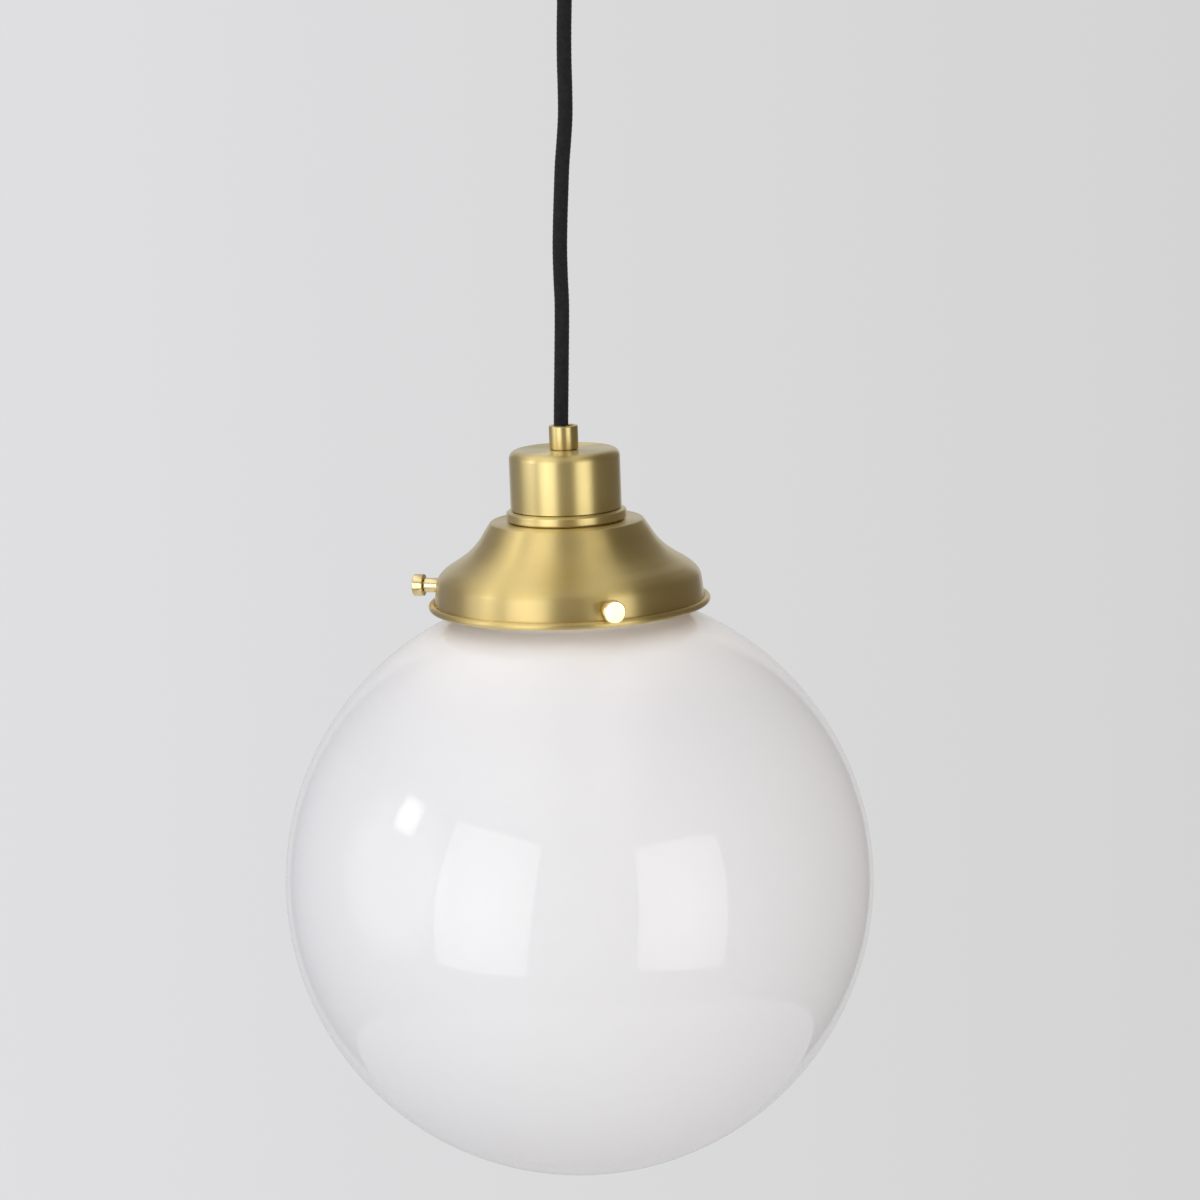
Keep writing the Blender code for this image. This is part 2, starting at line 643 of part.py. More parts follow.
def holder_wiring():
    """Earth tag under the nut, and the three cores inside the cover.

    The routes are x, y and height above the shoulder of each bend.
    """
    tag_top = CAP_TOP - CAP_SHEET - GAP
    tag_foot = tag_top - TAG_T
    ring = [(SHEET_HOLE_R, tag_top), (TAG_R, tag_top), (TAG_R, tag_foot), (SHEET_HOLE_R, tag_foot)]
    tag = turned("earth_tag", ring, BRASS, LAMP, shoulder(), MEDIUM)
    lug = box("earth_tag_lug", (4.0, 9.0, TAG_T), None, LAMP, shoulder(0.0, 12.0, tag_top - TAG_T / 2))
    boolean(tag, lug, "UNION")
    nut_middle = tag_foot - GAP - GRIP_NUT_H / 2
    hex_nut("holder_grip_nut", LAMP, SHOULDER_Z + nut_middle)
    flex_tail("holder_flex_tail", LAMP, (LAMP_MOUTH_Z - TAIL_INSET, SHOULDER_Z + 20.6))
    for pole, side in (("live", -1), ("neutral", 1)):
        slotted_screw(
            f"holder_screw_{pole}", LAMP, shoulder(side * HOLDER_SCREW_X, 0.0, CORE_TOP + GAP), 2.6, 1.6,
            POLE_SCREW_R, 3.2)
    live = [
        (-2.2, -0.9, 20.2), (-2.9, -1.4, 18.6), (-5.2, -2.8, 16.6), (-8.2, -4.4, 15.4),
        (-11.2, -4.6, 15.3),
    ]
    neutral = [
        (1.0, -0.9, 20.2), (1.8, -1.4, 18.6), (4.6, -2.8, 16.6), (8.2, -4.4, 15.4),
        (11.2, -4.6, 15.3),
    ]
    earth = [
        (-0.5, 1.0, 20.2), (-0.6, 2.2, 18.4), (-0.4, 6.6, 17.6), (0.0, 11.2, 20.2),
        (0.0, 13.4, 24.6),
    ]
    for name, route, color in (("live", live, BROWN), ("neutral", neutral, BLUE), ("earth", earth, GREEN)):
        core_wire(f"holder_{name}_wire", LAMP, [shoulder(*point) for point in route], color)


# Gallery and its thumbscrews --------------------------------------------------------------------

def gallery():
    """Spun brass gallery: flat top, hollow flare, full shoulder and a beaded rim."""
    inner = offset_inwards(GALLERY_SIDE[1:], GALLERY_SHEET)
    bead = arc(BEAD_R, BEAD_Z, BEAD_TUBE, 140, 0, 3) + arc(BEAD_R, BEAD_Z, BEAD_TUBE, -50, -150, 2)
    inner_foot = [(inner[-1][0], BEAD_Z - 0.6)]
    inner_edge_r = GALLERY_SIDE[0][0] - GALLERY_SHEET
    underside = GALLERY_TOP - GALLERY_SHEET
    profile = GALLERY_SIDE + bead + inner_foot + inner[::-1]
    profile += [(inner_edge_r, underside), (GALLERY_HOLE_R, underside), (GALLERY_HOLE_R, GALLERY_TOP)]
    obj = turned("gallery", profile, BRASS, LAMP, shoulder(), FINE)
    for angle in THUMBSCREWS.values():
        drill(obj, STUD_R + GAP, 6.0, radial(angle, 56.0, SHOULDER_Z + SCREW_Z), outward(angle))


def thumbscrew(name, angle):
    """Screw boss on the gallery's wall and the round-headed screw that slides through it."""
    length = BOSS_SPAN[1] - BOSS_SPAN[0]
    bore = STUD_R + GAP
    boss = [(bore, length), (BOSS_R, length), (BOSS_R, 0.0), (bore, 0.0)]
    turned(
        f"screw_boss_{name}", boss, BRASS, LAMP,
        radial(angle, BOSS_SPAN[0], SHOULDER_Z + SCREW_Z), 16, outward(angle))
    origin = radial(angle, KNOB_SPAN[0], SHOULDER_Z + SCREW_Z)
    axis = pivot(f"thumbscrew_{name}_axis", origin)
    axis.parent = LAMP
    axis.location -= LAMP.location
    knob_l = KNOB_SPAN[1] - KNOB_SPAN[0]
    neck = STUD_NECK_AT - KNOB_SPAN[0]
    tip = STUD_TIP_AT - KNOB_SPAN[0]
    edge = 0.6
    screw = [
        (0.0, knob_l), (KNOB_R - edge, knob_l), (KNOB_R, knob_l - edge), (KNOB_R, edge),
        (KNOB_R - edge, 0.0), (STUD_R, 0.0), (STUD_R, neck), (STUD_TIP_R, neck),
        (STUD_TIP_R, tip), (0.0, tip),
    ]
    obj = turned(f"thumbscrew_{name}", screw, BRASS, LAMP, origin, 16, outward(angle), loop=False)
    obj.parent = axis
    obj.location = (0.0, 0.0, 0.0)


# Globe and bulb ---------------------------------------------------------------------------------

def globe():
    """Opal ball: inner surface up to the neck, round the lip, outer surface down."""
    bore = NECK_R - GLASS
    inner_r = GLOBE_R - GLASS
    outer_meet = math.degrees(math.acos(NECK_R / GLOBE_R))
    inner_meet = math.degrees(math.acos(bore / inner_r))
    inside = arc(0.0, GLOBE_Z, inner_r, -90, inner_meet, 9)
    outside = arc(0.0, GLOBE_Z, GLOBE_R, outer_meet, 0, 5) + arc(0.0, GLOBE_Z, GLOBE_R, -15, -90, 5)
    top = [(bore, LIP_Z), *arc(LIP_R, LIP_Z, LIP_TUBE, 120, -50, 4), (NECK_R, LIP_Z - LIP_TUBE - 1.2)]
    profile = inside + top + outside
    profile[0] = (0.0, profile[0][1])
    profile[-1] = (0.0, profile[-1][1])
    turned("globe", profile, OPAL, GLOBE, shoulder(), FINE, loop=False)


def bulb():
    """LED lamp: tip contact, insulator, screw cap, plastic collar and opal dome."""
    cap_top, cap_foot = BULB_CAP_SPAN
    tip_foot = BULB_TIP - BULB_TIP_H
    tip = [
        (0.0, BULB_TIP), (BULB_TIP_R - 1.6, BULB_TIP), (BULB_TIP_R, tip_foot + 0.5),
        (BULB_TIP_R, tip_foot), (0.0, tip_foot),
    ]
    turned("bulb_contact", tip, SOLDER, BULB, shoulder(), SMALL, loop=False)
    cone_top = tip_foot - GAP
    cone_foot = cap_top + GAP
    cone = [(0.0, cone_top), (BULB_TIP_R + 0.8, cone_top), (BULB_CAP_TOP_R, cone_foot), (0.0, cone_foot)]
    turned("bulb_insulator", cone, BLACK_GLASS, BULB, shoulder(), MEDIUM, loop=False)
    cap = [
        (0.0, cap_top), (BULB_CAP_TOP_R, cap_top), (BULB_CAP_R, cap_top - 2.0), (BULB_CAP_R, cap_foot),
        (0.0, cap_foot),
    ]
    turned("bulb_cap", cap, NICKEL, BULB, shoulder(), MEDIUM, loop=False)
    collar_top = cap_foot - GAP
    edge = 1.2
    collar = [
        (0.0, collar_top), (BULB_COLLAR_TOP_R - edge, collar_top), (BULB_COLLAR_TOP_R, collar_top - edge),
        BULB_COLLAR_WAIST, (BULB_COLLAR_R, BULB_COLLAR_FOOT), (0.0, BULB_COLLAR_FOOT),
    ]
    turned("bulb_collar", collar, PLASTIC, BULB, shoulder(), MEDIUM, loop=False)
    outside = [(BULB_COLLAR_R, BULB_COLLAR_FOOT - GAP), BULB_DOME_SHOULDER]
    outside += arc(0.0, BULB_MIDDLE, BULB_R, 15, -90, 7)
    inside = [(x - BULB_GLASS, z) for x, z in outside[:2]]
    inside += arc(0.0, BULB_MIDDLE, BULB_R - BULB_GLASS, 10, -90, 6)
    outside[-1] = (0.0, outside[-1][1])
    inside[-1] = (0.0, inside[-1][1])
    turned("bulb_dome", inside[::-1] + outside, PLASTIC, BULB, shoulder(), MEDIUM, loop=False)


# Build ------------------------------------------------------------------------------------------

clear_scene()
PARTS = new_collection(COLLECTION)
CUTTERS = new_collection("cutters")

BRASS = make_material("satin_brass", (0.60, 0.50, 0.24), 1.0, 0.3)
STEEL = make_material("steel", (0.62, 0.62, 0.64), 1.0, 0.35)
ZINC = make_material("zinc_plated_steel", (0.66, 0.67, 0.66), 1.0, 0.42)
NICKEL = make_material("nickel", (0.72, 0.71, 0.68), 1.0, 0.25)
SOLDER = make_material("solder", (0.6, 0.6, 0.62), 1.0, 0.45)
TEXTILE = make_material("black_textile", (0.012, 0.012, 0.014), 0.0, 0.85)
BROWN = make_material("core_brown", (0.16, 0.07, 0.03), 0.0, 0.45)
BLUE = make_material("core_blue", (0.03, 0.12, 0.4), 0.0, 0.45)
GREEN = make_material("core_green", (0.2, 0.36, 0.04), 0.0, 0.45)
RUBBER = make_material("rubber", (0.03, 0.03, 0.03), 0.0, 0.7)
NYLON = make_material("nylon", (0.8, 0.79, 0.75), 0.0, 0.5)
CERAMIC = make_material("porcelain", (0.82, 0.8, 0.75), 0.0, 0.2)
OPAL = make_material("opal_glass", (0.86, 0.85, 0.86), 0.0, 0.08)
BLACK_GLASS = make_material("black_glass", (0.02, 0.02, 0.025), 0.0, 0.15)
PLASTIC = make_material("white_plastic", (0.84, 0.84, 0.83), 0.0, 0.45)

ROSE = pivot("rose_origin", (0, 0, 0))
CORD = pivot("cord_swing_pivot", (0, 0, ROSE_MOUTH_Z))
LAMP = pivot("lamp_tilt_pivot", (0, 0, LAMP_MOUTH_Z))
GLOBE = pivot("globe_drop_axis", (0, 0, SHOULDER_Z))
BULB = pivot("bulb_turn_axis", (0, 0, SHOULDER_Z))

ceiling_rose()
hanging_cord()
grip("holder_grip", LAMP, SHOULDER_Z + CAP_TOP, up=True)
grip_screw("holder_grip_screw", LAMP, SHOULDER_Z + CAP_TOP, up=True)
holder_cap()
cap_ring()
clamp_ring()
lampholder()
holder_wiring()
gallery()
for screw_name, screw_angle in THUMBSCREWS.items():
    thumbscrew(screw_name, screw_angle)
globe()
bulb()
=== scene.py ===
"""Looks of the pendant ceiling light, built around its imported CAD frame.

Everything is in the row's frame: the ceiling is z = 0 and the lamp hangs below it. Profiles are pairs
(radius, height) in millimetres; the lamp's are drawn about its shoulder, the gallery's flat top.
"""

import math

import bmesh
import bpy
import numpy as np
from mathutils import Matrix, Vector


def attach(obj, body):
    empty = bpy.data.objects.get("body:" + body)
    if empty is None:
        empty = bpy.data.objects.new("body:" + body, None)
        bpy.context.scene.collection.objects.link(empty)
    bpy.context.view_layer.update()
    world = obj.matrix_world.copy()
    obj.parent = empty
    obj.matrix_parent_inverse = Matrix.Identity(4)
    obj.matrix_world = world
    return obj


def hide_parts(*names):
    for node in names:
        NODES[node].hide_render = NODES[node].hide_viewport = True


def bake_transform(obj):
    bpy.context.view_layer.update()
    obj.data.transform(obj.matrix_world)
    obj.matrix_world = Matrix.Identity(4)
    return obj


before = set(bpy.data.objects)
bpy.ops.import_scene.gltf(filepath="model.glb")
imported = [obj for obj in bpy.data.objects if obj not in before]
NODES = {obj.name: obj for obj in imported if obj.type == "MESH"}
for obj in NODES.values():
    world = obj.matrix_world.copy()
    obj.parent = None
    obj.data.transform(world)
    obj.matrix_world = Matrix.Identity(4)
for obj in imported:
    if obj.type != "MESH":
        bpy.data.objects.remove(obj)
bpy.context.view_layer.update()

MM = 0.001
SHOULDER_Z = -319.0
ROSE_FLOOR_Z = -28.0
ROSE_R = 50.0
ROSE_SCREW_Z = -8.3
ENTRY_Y = 0.026                         # metres from the rose's axis to the cable entry
CAP_TOP = 29.0
THUMBSCREWS = {"front": -74.0, "left": 166.0, "back": 46.0}     # degrees about the lamp's axis
THUMBSCREW_Z = -29.3
ROUND = 160                             # sides of a large turned piece
SMALL_ROUND = 72
SHARP_EDGE = 32.0                       # degrees beyond which an edge isn't smoothed

# Camera ------------------------------------------------------------------------------------------

AIM = Vector((0.0, 0.0, -0.3547))       # middle of the gallery's rim
DISTANCE = 1.683
PITCH = math.radians(10.27)
ROLL = math.radians(-2.02)
AIM_OFFSET = (-0.02532, -0.00096)       # where AIM lands, in frame widths right of and above the middle
LENS = 120.0
SENSOR = 36.0


def make_camera():
    data = bpy.data.cameras.new("camera")
    data.lens = LENS
    data.sensor_width = SENSOR
    data.clip_end = 100.0
    camera = bpy.data.objects.new("camera", data)
    bpy.context.scene.collection.objects.link(camera)
    ahead = Vector((0.0, math.cos(PITCH), -math.sin(PITCH)))
    level = Vector((1.0, 0.0, 0.0))
    above = Vector((0.0, math.sin(PITCH), math.cos(PITCH)))
    right = math.cos(ROLL) * level + math.sin(ROLL) * above
    up = math.cos(ROLL) * above - math.sin(ROLL) * level
    sideways, upwards = (DISTANCE * offset * SENSOR / LENS for offset in AIM_OFFSET)
    place = AIM - DISTANCE * ahead - sideways * right - upwards * up
    camera.matrix_world = Matrix((
        (right.x, up.x, -ahead.x, place.x),
        (right.y, up.y, -ahead.y, place.y),
        (right.z, up.z, -ahead.z, place.z),
        (0.0, 0.0, 0.0, 1.0)))
    bpy.context.scene.camera = camera


# Node materials ----------------------------------------------------------------------------------

class Nodes:
    """A short way to write a node tree."""

    def __init__(self, tree, coordinate):
        self.tree = tree
        self.place = self.add("ShaderNodeTexCoord").outputs[coordinate]

    def add(self, kind, **settings):
        node = self.tree.nodes.new(kind)
        for key, value in settings.items():
            setattr(node, key, value)
        return node

    def put(self, source, node, socket):
        self.tree.links.new(source, node.inputs[socket])

    def math(self, operation, a, b=None):
        node = self.add("ShaderNodeMath", operation=operation)
        for slot, value in zip(node.inputs, (a, b)):
            if isinstance(value, (int, float)):
                slot.default_value = value
            elif value is not None:
                self.tree.links.new(value, slot)
        return node.outputs[0]

    def noise(self, scale, detail=3.0, vector=None, rough=0.55):
        node = self.add("ShaderNodeTexNoise")
        node.inputs["Scale"].default_value = scale
        node.inputs["Detail"].default_value = detail
        node.inputs["Roughness"].default_value = rough
        self.put(vector or self.place, node, "Vector")
        return node.outputs["Fac"]

    def range(self, value, low, high, start=0.0, end=1.0):
        node = self.add("ShaderNodeMapRange")
        self.put(value, node, "Value")
        for socket, number in zip(("From Min", "From Max", "To Min", "To Max"), (start, end, low, high)):
            node.inputs[socket].default_value = number
        return node.outputs["Result"]

    def ramp(self, value, stops):
        """A grey that passes through the stops, pairs of place and brightness."""
        node = self.add("ShaderNodeValToRGB")
        elements = node.color_ramp.elements
        elements.remove(elements[1])
        elements[0].position = 0.0
        first_level = stops[0][1]
        elements[0].color = (first_level, first_level, first_level, 1.0)
        for place, level in stops[1:]:
            elements.new(place).color = (level, level, level, 1.0)
        self.put(value, node, "Fac")
        return node.outputs["Color"]

    def blend(self, factor, a, b):
        node = self.add("ShaderNodeMix", data_type="RGBA")
        for socket, color in ((6, a), (7, b)):
            if isinstance(color, tuple):
                node.inputs[socket].default_value = (*color, 1.0)
            else:
                self.tree.links.new(color, node.inputs[socket])
        self.tree.links.new(factor, node.inputs[0])
        return node.outputs[2]

    def bump(self, height, strength, distance):
        node = self.add("ShaderNodeBump")
        node.inputs["Strength"].default_value = strength
        node.inputs["Distance"].default_value = distance
        self.put(height, node, "Height")
        return node.outputs["Normal"]

    def split(self):
        node = self.add("ShaderNodeSeparateXYZ")
        self.put(self.place, node, "Vector")
        return node.outputs

    def join(self, x, y, z):
        node = self.add("ShaderNodeCombineXYZ")
        for slot, value in zip(node.inputs, (x, y, z)):
            if isinstance(value, (int, float)):
                slot.default_value = value
            else:
                self.tree.links.new(value, slot)
        return node.outputs[0]


class Surface(Nodes):
    """A material's nodes. Constants go straight on the shader's sockets, the rest through set()."""

    def __init__(self, name, color, **constants):
        self.material = bpy.data.materials.new(name)
        self.material.use_nodes = True
        self.material.diffuse_color = (*color, 1.0)
        super().__init__(self.material.node_tree, "Object")
        self.shader = self.tree.nodes["Principled BSDF"]
        self.shader.inputs["Base Color"].default_value = (*color, 1.0)
        for socket, value in constants.items():
            self.shader.inputs[SOCKETS[socket]].default_value = value

    def set(self, **sources):
        for socket, source in sources.items():
            self.put(source, self.shader, SOCKETS[socket])
        return self.material


SOCKETS = {
    "color": "Base Color", "metallic": "Metallic", "roughness": "Roughness", "ior": "IOR",
    "normal": "Normal", "coat": "Coat Weight", "coat_roughness": "Coat Roughness",
    "sheen": "Sheen Weight", "sheen_roughness": "Sheen Roughness", "specular": "Specular IOR Level",
    "anisotropy": "Anisotropic", "across": "Anisotropic Rotation", "tangent": "Tangent",
    "subsurface": "Subsurface Weight", "subsurface_radius": "Subsurface Radius",
    "subsurface_scale": "Subsurface Scale",
}


def turned_lines(nodes, per_metre):
    """Noise drawn out round the lamp's axis, as the tool leaves it on a turned surface."""
    x, y, z = nodes.split()
    squares = nodes.math("ADD", nodes.math("MULTIPLY", x, x), nodes.math("MULTIPLY", y, y))
    radius = nodes.math("SQRT", squares)
    profile = nodes.join(
        nodes.math("MULTIPLY", radius, per_metre), nodes.math("MULTIPLY", z, per_metre), 0.0)
    return nodes.noise(1.0, 4.0, profile)


def satin_brass(name, light, deep, anisotropy, rough_low, rough_high):
    """Brass brushed round the axis, so that highlights smear along the profile."""
    nodes = Surface(
        name, light, metallic=1.0, anisotropy=anisotropy, across=0.25, coat=0.5, coat_roughness=0.2)
    lines = turned_lines(nodes, 2600.0)
    clouds = nodes.noise(38.0, 4.0)
    color = nodes.blend(nodes.range(clouds, 0.0, 1.0, 0.35, 0.7), light, deep)
    rough = nodes.math("ADD", nodes.range(clouds, rough_low, rough_high), nodes.range(lines, -0.03, 0.03))
    tangent = nodes.add("ShaderNodeTangent", direction_type="RADIAL", axis="Z").outputs[0]
    return nodes.set(
        color=color, roughness=rough, normal=nodes.bump(lines, 0.25, 0.00006), tangent=tangent)


def polished_brass():
    nodes = Surface("polished_brass", POLISHED, metallic=1.0)
    fine = nodes.noise(900.0, 3.0)
    clouds = nodes.noise(160.0, 3.0)
    color = nodes.blend(nodes.range(clouds, 0.0, 1.0, 0.35, 0.7), POLISHED, SATIN)
    return nodes.set(
        color=color, roughness=nodes.range(fine, 0.1, 0.2, 0.3, 0.7), normal=nodes.bump(fine, 0.1, 0.00003))


def opal_glass():
    nodes = Surface(
        "opal_glass", OPAL, roughness=0.04, ior=1.45, subsurface=0.35,
        subsurface_radius=(0.012, 0.011, 0.0105), subsurface_scale=1.0)
    clouds = nodes.noise(5.0, 2.0)
    ball = nodes.blend(nodes.range(clouds, 0.0, 1.0, 0.3, 0.7), OPAL, OPAL_DEEP)
    # painted reflection of the brass and painted light over the shade under the gallery: the glass is made
    # brighter and warmer near its neck
    painted_reflection = nodes.math("POWER", nodes.range(nodes.split()[2], 0.0, 1.0, *PAINTED_REFLECTION_Z), 4.0)
    color = nodes.blend(painted_reflection, ball, PAINTED_NECK_REFLECTION)
    waves = nodes.noise(9.0, 1.0)
    return nodes.set(
        color=color, roughness=nodes.range(nodes.noise(60.0, 4.0), 0.03, 0.06),
        normal=nodes.bump(waves, 0.06, 0.002))


def textile():
    nodes = Surface(
        "black_textile", BLACK, roughness=0.8, sheen=0.12, sheen_roughness=0.4, specular=0.22)
    fibres = nodes.noise(2600.0, 4.0)
    tufts = nodes.noise(420.0, 4.0)
    color = nodes.blend(nodes.range(tufts, 0.0, 1.0, 0.3, 0.75), BLACK, BLACK_WORN)
    return nodes.set(
        color=color, roughness=nodes.range(fibres, 0.7, 0.9), normal=nodes.bump(fibres, 0.5, 0.0001))


def metal(name, color, deep, low, high, scale=300.0):
    """Plain machined or plated metal with small clouds in its finish."""
    nodes = Surface(name, color, metallic=1.0)
    clouds = nodes.noise(scale, 4.0)
    return nodes.set(
        color=nodes.blend(nodes.range(clouds, 0.0, 1.0, 0.3, 0.7), color, deep),
        roughness=nodes.range(clouds, low, high, 0.3, 0.7),
        normal=nodes.bump(nodes.noise(scale * 4.0, 3.0), 0.12, 0.00004))


def moulded(name, color, deep, low, high, grain=700.0, **shader):
    """Moulded plastic, rubber or glaze: a little mottling and a fine grain."""
    nodes = Surface(name, color, **shader)
    clouds = nodes.noise(80.0, 4.0)
    fine = nodes.noise(grain, 4.0)
    return nodes.set(
        color=nodes.blend(nodes.range(clouds, 0.0, 1.0, 0.3, 0.7), color, deep),
        roughness=nodes.range(fine, low, high, 0.3, 0.7), normal=nodes.bump(fine, 0.15, 0.00004))


def striped_core():
    """Green core with a yellow stripe round it."""
    nodes = Surface("core_green_yellow", (0.1, 0.3, 0.03), roughness=0.4)
    x, y, z = nodes.split()
    diagonal = nodes.math("ADD", x, nodes.math("ADD", y, z))
    wave = nodes.math("SINE", nodes.math("MULTIPLY", diagonal, 1500.0))
    stripe = nodes.range(wave, 0.0, 1.0, 0.2, 0.3)
    return nodes.set(
        color=nodes.blend(stripe, (0.07, 0.26, 0.03), (0.72, 0.58, 0.03)),
        roughness=nodes.range(nodes.noise(900.0), 0.35, 0.5))


SATIN = (0.73, 0.595, 0.25)
SATIN_DEEP = (0.70, 0.56, 0.23)
SPUN = (0.74, 0.582, 0.232)
SPUN_DEEP = (0.71, 0.552, 0.212)
POLISHED = (0.88, 0.73, 0.46)
OPAL = (0.685, 0.68, 0.685)
OPAL_DEEP = (0.67, 0.665, 0.67)
# painted reflection: a warm, bright colour near the neck that stands in for light from the brass and covers
# the shade under the gallery
PAINTED_NECK_REFLECTION = (0.97, 0.925, 0.885)
PAINTED_REFLECTION_Z = (-0.411, -0.361)          # metres, between which a painted warm reflection of the brass brightens the glass towards its neck
BLACK = (0.005, 0.005, 0.0055)
BLACK_WORN = (0.012, 0.012, 0.013)

BRASS = satin_brass("satin_brass", SATIN, SATIN_DEEP, 0.85, 0.39, 0.45)
SPUN_BRASS = satin_brass("spun_brass", SPUN, SPUN_DEEP, 0.94, 0.42, 0.48)
BRIGHT = polished_brass()
GLASS = opal_glass()
TEXTILE = textile()
ZINC = metal("zinc_steel", (0.60, 0.61, 0.61), (0.50, 0.51, 0.53), 0.32, 0.5, 120.0)
STEEL = metal("screw_steel", (0.66, 0.66, 0.67), (0.55, 0.55, 0.57), 0.25, 0.4)
NICKEL = metal("nickel", (0.74, 0.72, 0.68), (0.68, 0.66, 0.62), 0.14, 0.26)
SOLDER = metal("solder", (0.55, 0.55, 0.57), (0.46, 0.46, 0.48), 0.4, 0.55)
RUBBER = moulded("rubber", (0.02, 0.02, 0.021), (0.03, 0.03, 0.03), 0.6, 0.75)
NYLON = moulded("nylon", (0.78, 0.77, 0.72), (0.74, 0.73, 0.68), 0.42, 0.55)
PLASTIC = moulded("white_plastic", (0.82, 0.82, 0.81), (0.79, 0.79, 0.78), 0.32, 0.42)
FROSTED = moulded("bulb_opal", (0.88, 0.88, 0.86), (0.86, 0.86, 0.84), 0.25, 0.34, subsurface=0.3)
PORCELAIN = moulded("porcelain", (0.80, 0.78, 0.72), (0.76, 0.74, 0.68), 0.12, 0.2, 250.0, coat=0.4)
BLACK_GLASS = moulded("black_glass", (0.012, 0.012, 0.016), (0.02, 0.02, 0.024), 0.08, 0.16, 250.0)
BROWN = moulded("core_brown", (0.15, 0.06, 0.025), (0.12, 0.05, 0.02), 0.35, 0.5)
BLUE = moulded("core_blue", (0.02, 0.10, 0.38), (0.02, 0.08, 0.32), 0.35, 0.5)
GREEN = striped_core()


# Mesh helpers ------------------------------------------------------------------------------------

def arc(x, z, radius, start, end, steps):
    """Points of an arc, angles in degrees from +X towards +Z."""
    angles = [math.radians(start + (end - start) * i / steps) for i in range(steps + 1)]
    return [(x + radius * math.cos(a), z + radius * math.sin(a)) for a in angles]


def smooth_path(points, count):
    """A Catmull-Rom curve through the points, with count steps for each of them."""
    points = [Vector(p) for p in points]
    ends = [2 * points[0] - points[1], *points, 2 * points[-1] - points[-2]]
    path = []
    for before, a, b, after in zip(ends, ends[1:], ends[2:], ends[3:]):
        for i in range(count):
            t = i / count
            path.append(0.5 * (
                2 * a + (b - before) * t + (2 * before - 5 * a + 4 * b - after) * t ** 2
                + (3 * a - before - 3 * b + after) * t ** 3))
    path.append(points[-1])
    return path


def evenly_spaced(path, step):
    """The path's points again, a step apart along its length."""
    lengths = [0.0]
    for a, b in zip(path, path[1:]):
        lengths.append(lengths[-1] + (b - a).length)
    count = max(2, round(lengths[-1] / step))
    targets = np.linspace(0.0, lengths[-1], count + 1)
    columns = [np.interp(targets, lengths, [p[axis] for p in path]) for axis in range(3)]
    return [Vector(p) for p in zip(*columns)]


def offset_inwards(points, distance):
    """A copy of a profile that runs downwards, moved towards the axis across its own slope."""
    moved = []
    for i, (x, z) in enumerate(points):
        ahead = points[min(i + 1, len(points) - 1)]
        behind = points[max(i - 1, 0)]
        slope = Vector((ahead[0] - behind[0], ahead[1] - behind[1])).normalized()
        moved.append((x + slope.y * distance, z - slope.x * distance))
    return moved


def divided(points, step):
    """The profile with points no further apart than step, for a surface that is shaped afterwards."""
    fine = [points[0]]
    for a, b in zip(points, points[1:]):
        count = max(1, math.ceil(math.dist(a, b) / step))
        for k in range(1, count + 1):
            fine.append((a[0] + (b[0] - a[0]) * k / count, a[1] + (b[1] - a[1]) * k / count))
    return fine


def finish_mesh(name, vertices, faces, material, body, replaced, sharp=SHARP_EDGE, place=None):
    mesh = bpy.data.meshes.new(name)
    mesh.from_pydata(vertices, [], faces)
    mesh.materials.append(material)
    mesh.shade_smooth()
    mesh.set_sharp_from_angle(angle=math.radians(sharp))
    obj = bpy.data.objects.new(name, mesh)
    bpy.context.scene.collection.objects.link(obj)
    if place is not None:
        obj.matrix_world = place
    register(obj, body, replaced)
    return obj


def register(obj, body, replaced):
    if body:
        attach(obj, body)
    if replaced:
        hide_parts(*replaced)


def lathe(name, profile, material, body, replaced=(), height=0.0, sides=ROUND, loop=True,
          shape=None, sharp=SHARP_EDGE, place=None):
    """A turned solid. A loop is a ring; an open profile starts and ends on the axis.

    shape(angle, radius, z) gives the radius where a thread, knurl or flute changes it.
    """
    angles = [math.tau * k / sides for k in range(sides)]
    vertices, rings = [], []
    for x, z in profile:
        if x < 1e-6 and not loop:
            rings.append([len(vertices)])
            vertices.append((0.0, 0.0, (z + height) * MM))
            continue
        rings.append(range(len(vertices), len(vertices) + sides))
        for angle in angles:
            radius = MM * (shape(angle, x, z) if shape else x)
            vertices.append((radius * math.cos(angle), radius * math.sin(angle), (z + height) * MM))
    pairs = list(zip(rings, rings[1:]))
    if loop:
        pairs.append((rings[-1], rings[0]))
    faces = []
    for upper, lower in pairs:
        for k in range(sides):
            after = (k + 1) % sides
            if len(upper) == 1:
                faces.append((upper[0], lower[k], lower[after]))
            elif len(lower) == 1:
                faces.append((upper[k], lower[0], upper[after]))
            else:
                faces.append((upper[k], lower[k], lower[after], upper[after]))
    return finish_mesh(name, vertices, faces, material, body, replaced, sharp, place)


def thread(major, minor, pitch, first, last, fade=0.8):
    """Radius of a helical thread between two heights, for surfaces that lie between its two radii."""
    def shape(angle, radius, z):
        if not last <= z <= first or radius < minor - 0.01:
            return radius
        turn = (z / pitch + angle / math.tau) % 1.0
        ridge = 0.5 + 0.5 * math.cos(math.tau * turn)
        run_in = min(1.0, (first - z) / fade, (z - last) / fade)
        return minor + (major - minor) * ridge * max(0.0, run_in)
    return shape


def knurl(teeth, depth, radius_from):
    """Radius of straight knurling on the parts of a piece that lie beyond a radius."""
    def shape(angle, radius, z):
        if radius < radius_from:
            return radius
        return radius - depth * (0.5 - 0.5 * math.cos(teeth * angle)) ** 0.7
    return shape


def radial(angle, distance, height):
    """A place in metres, from an angle about the axis and a distance and height in millimetres."""
    return Vector((distance * math.cos(angle), distance * math.sin(angle), height)) * MM


def outward(angle, distance, height):
    """The matrix that lays a piece's own Z along a radius."""
    turn = Matrix.Rotation(angle, 4, "Z") @ Matrix.Rotation(math.pi / 2, 4, "Y")
    return Matrix.Translation(radial(angle, distance, height)) @ turn


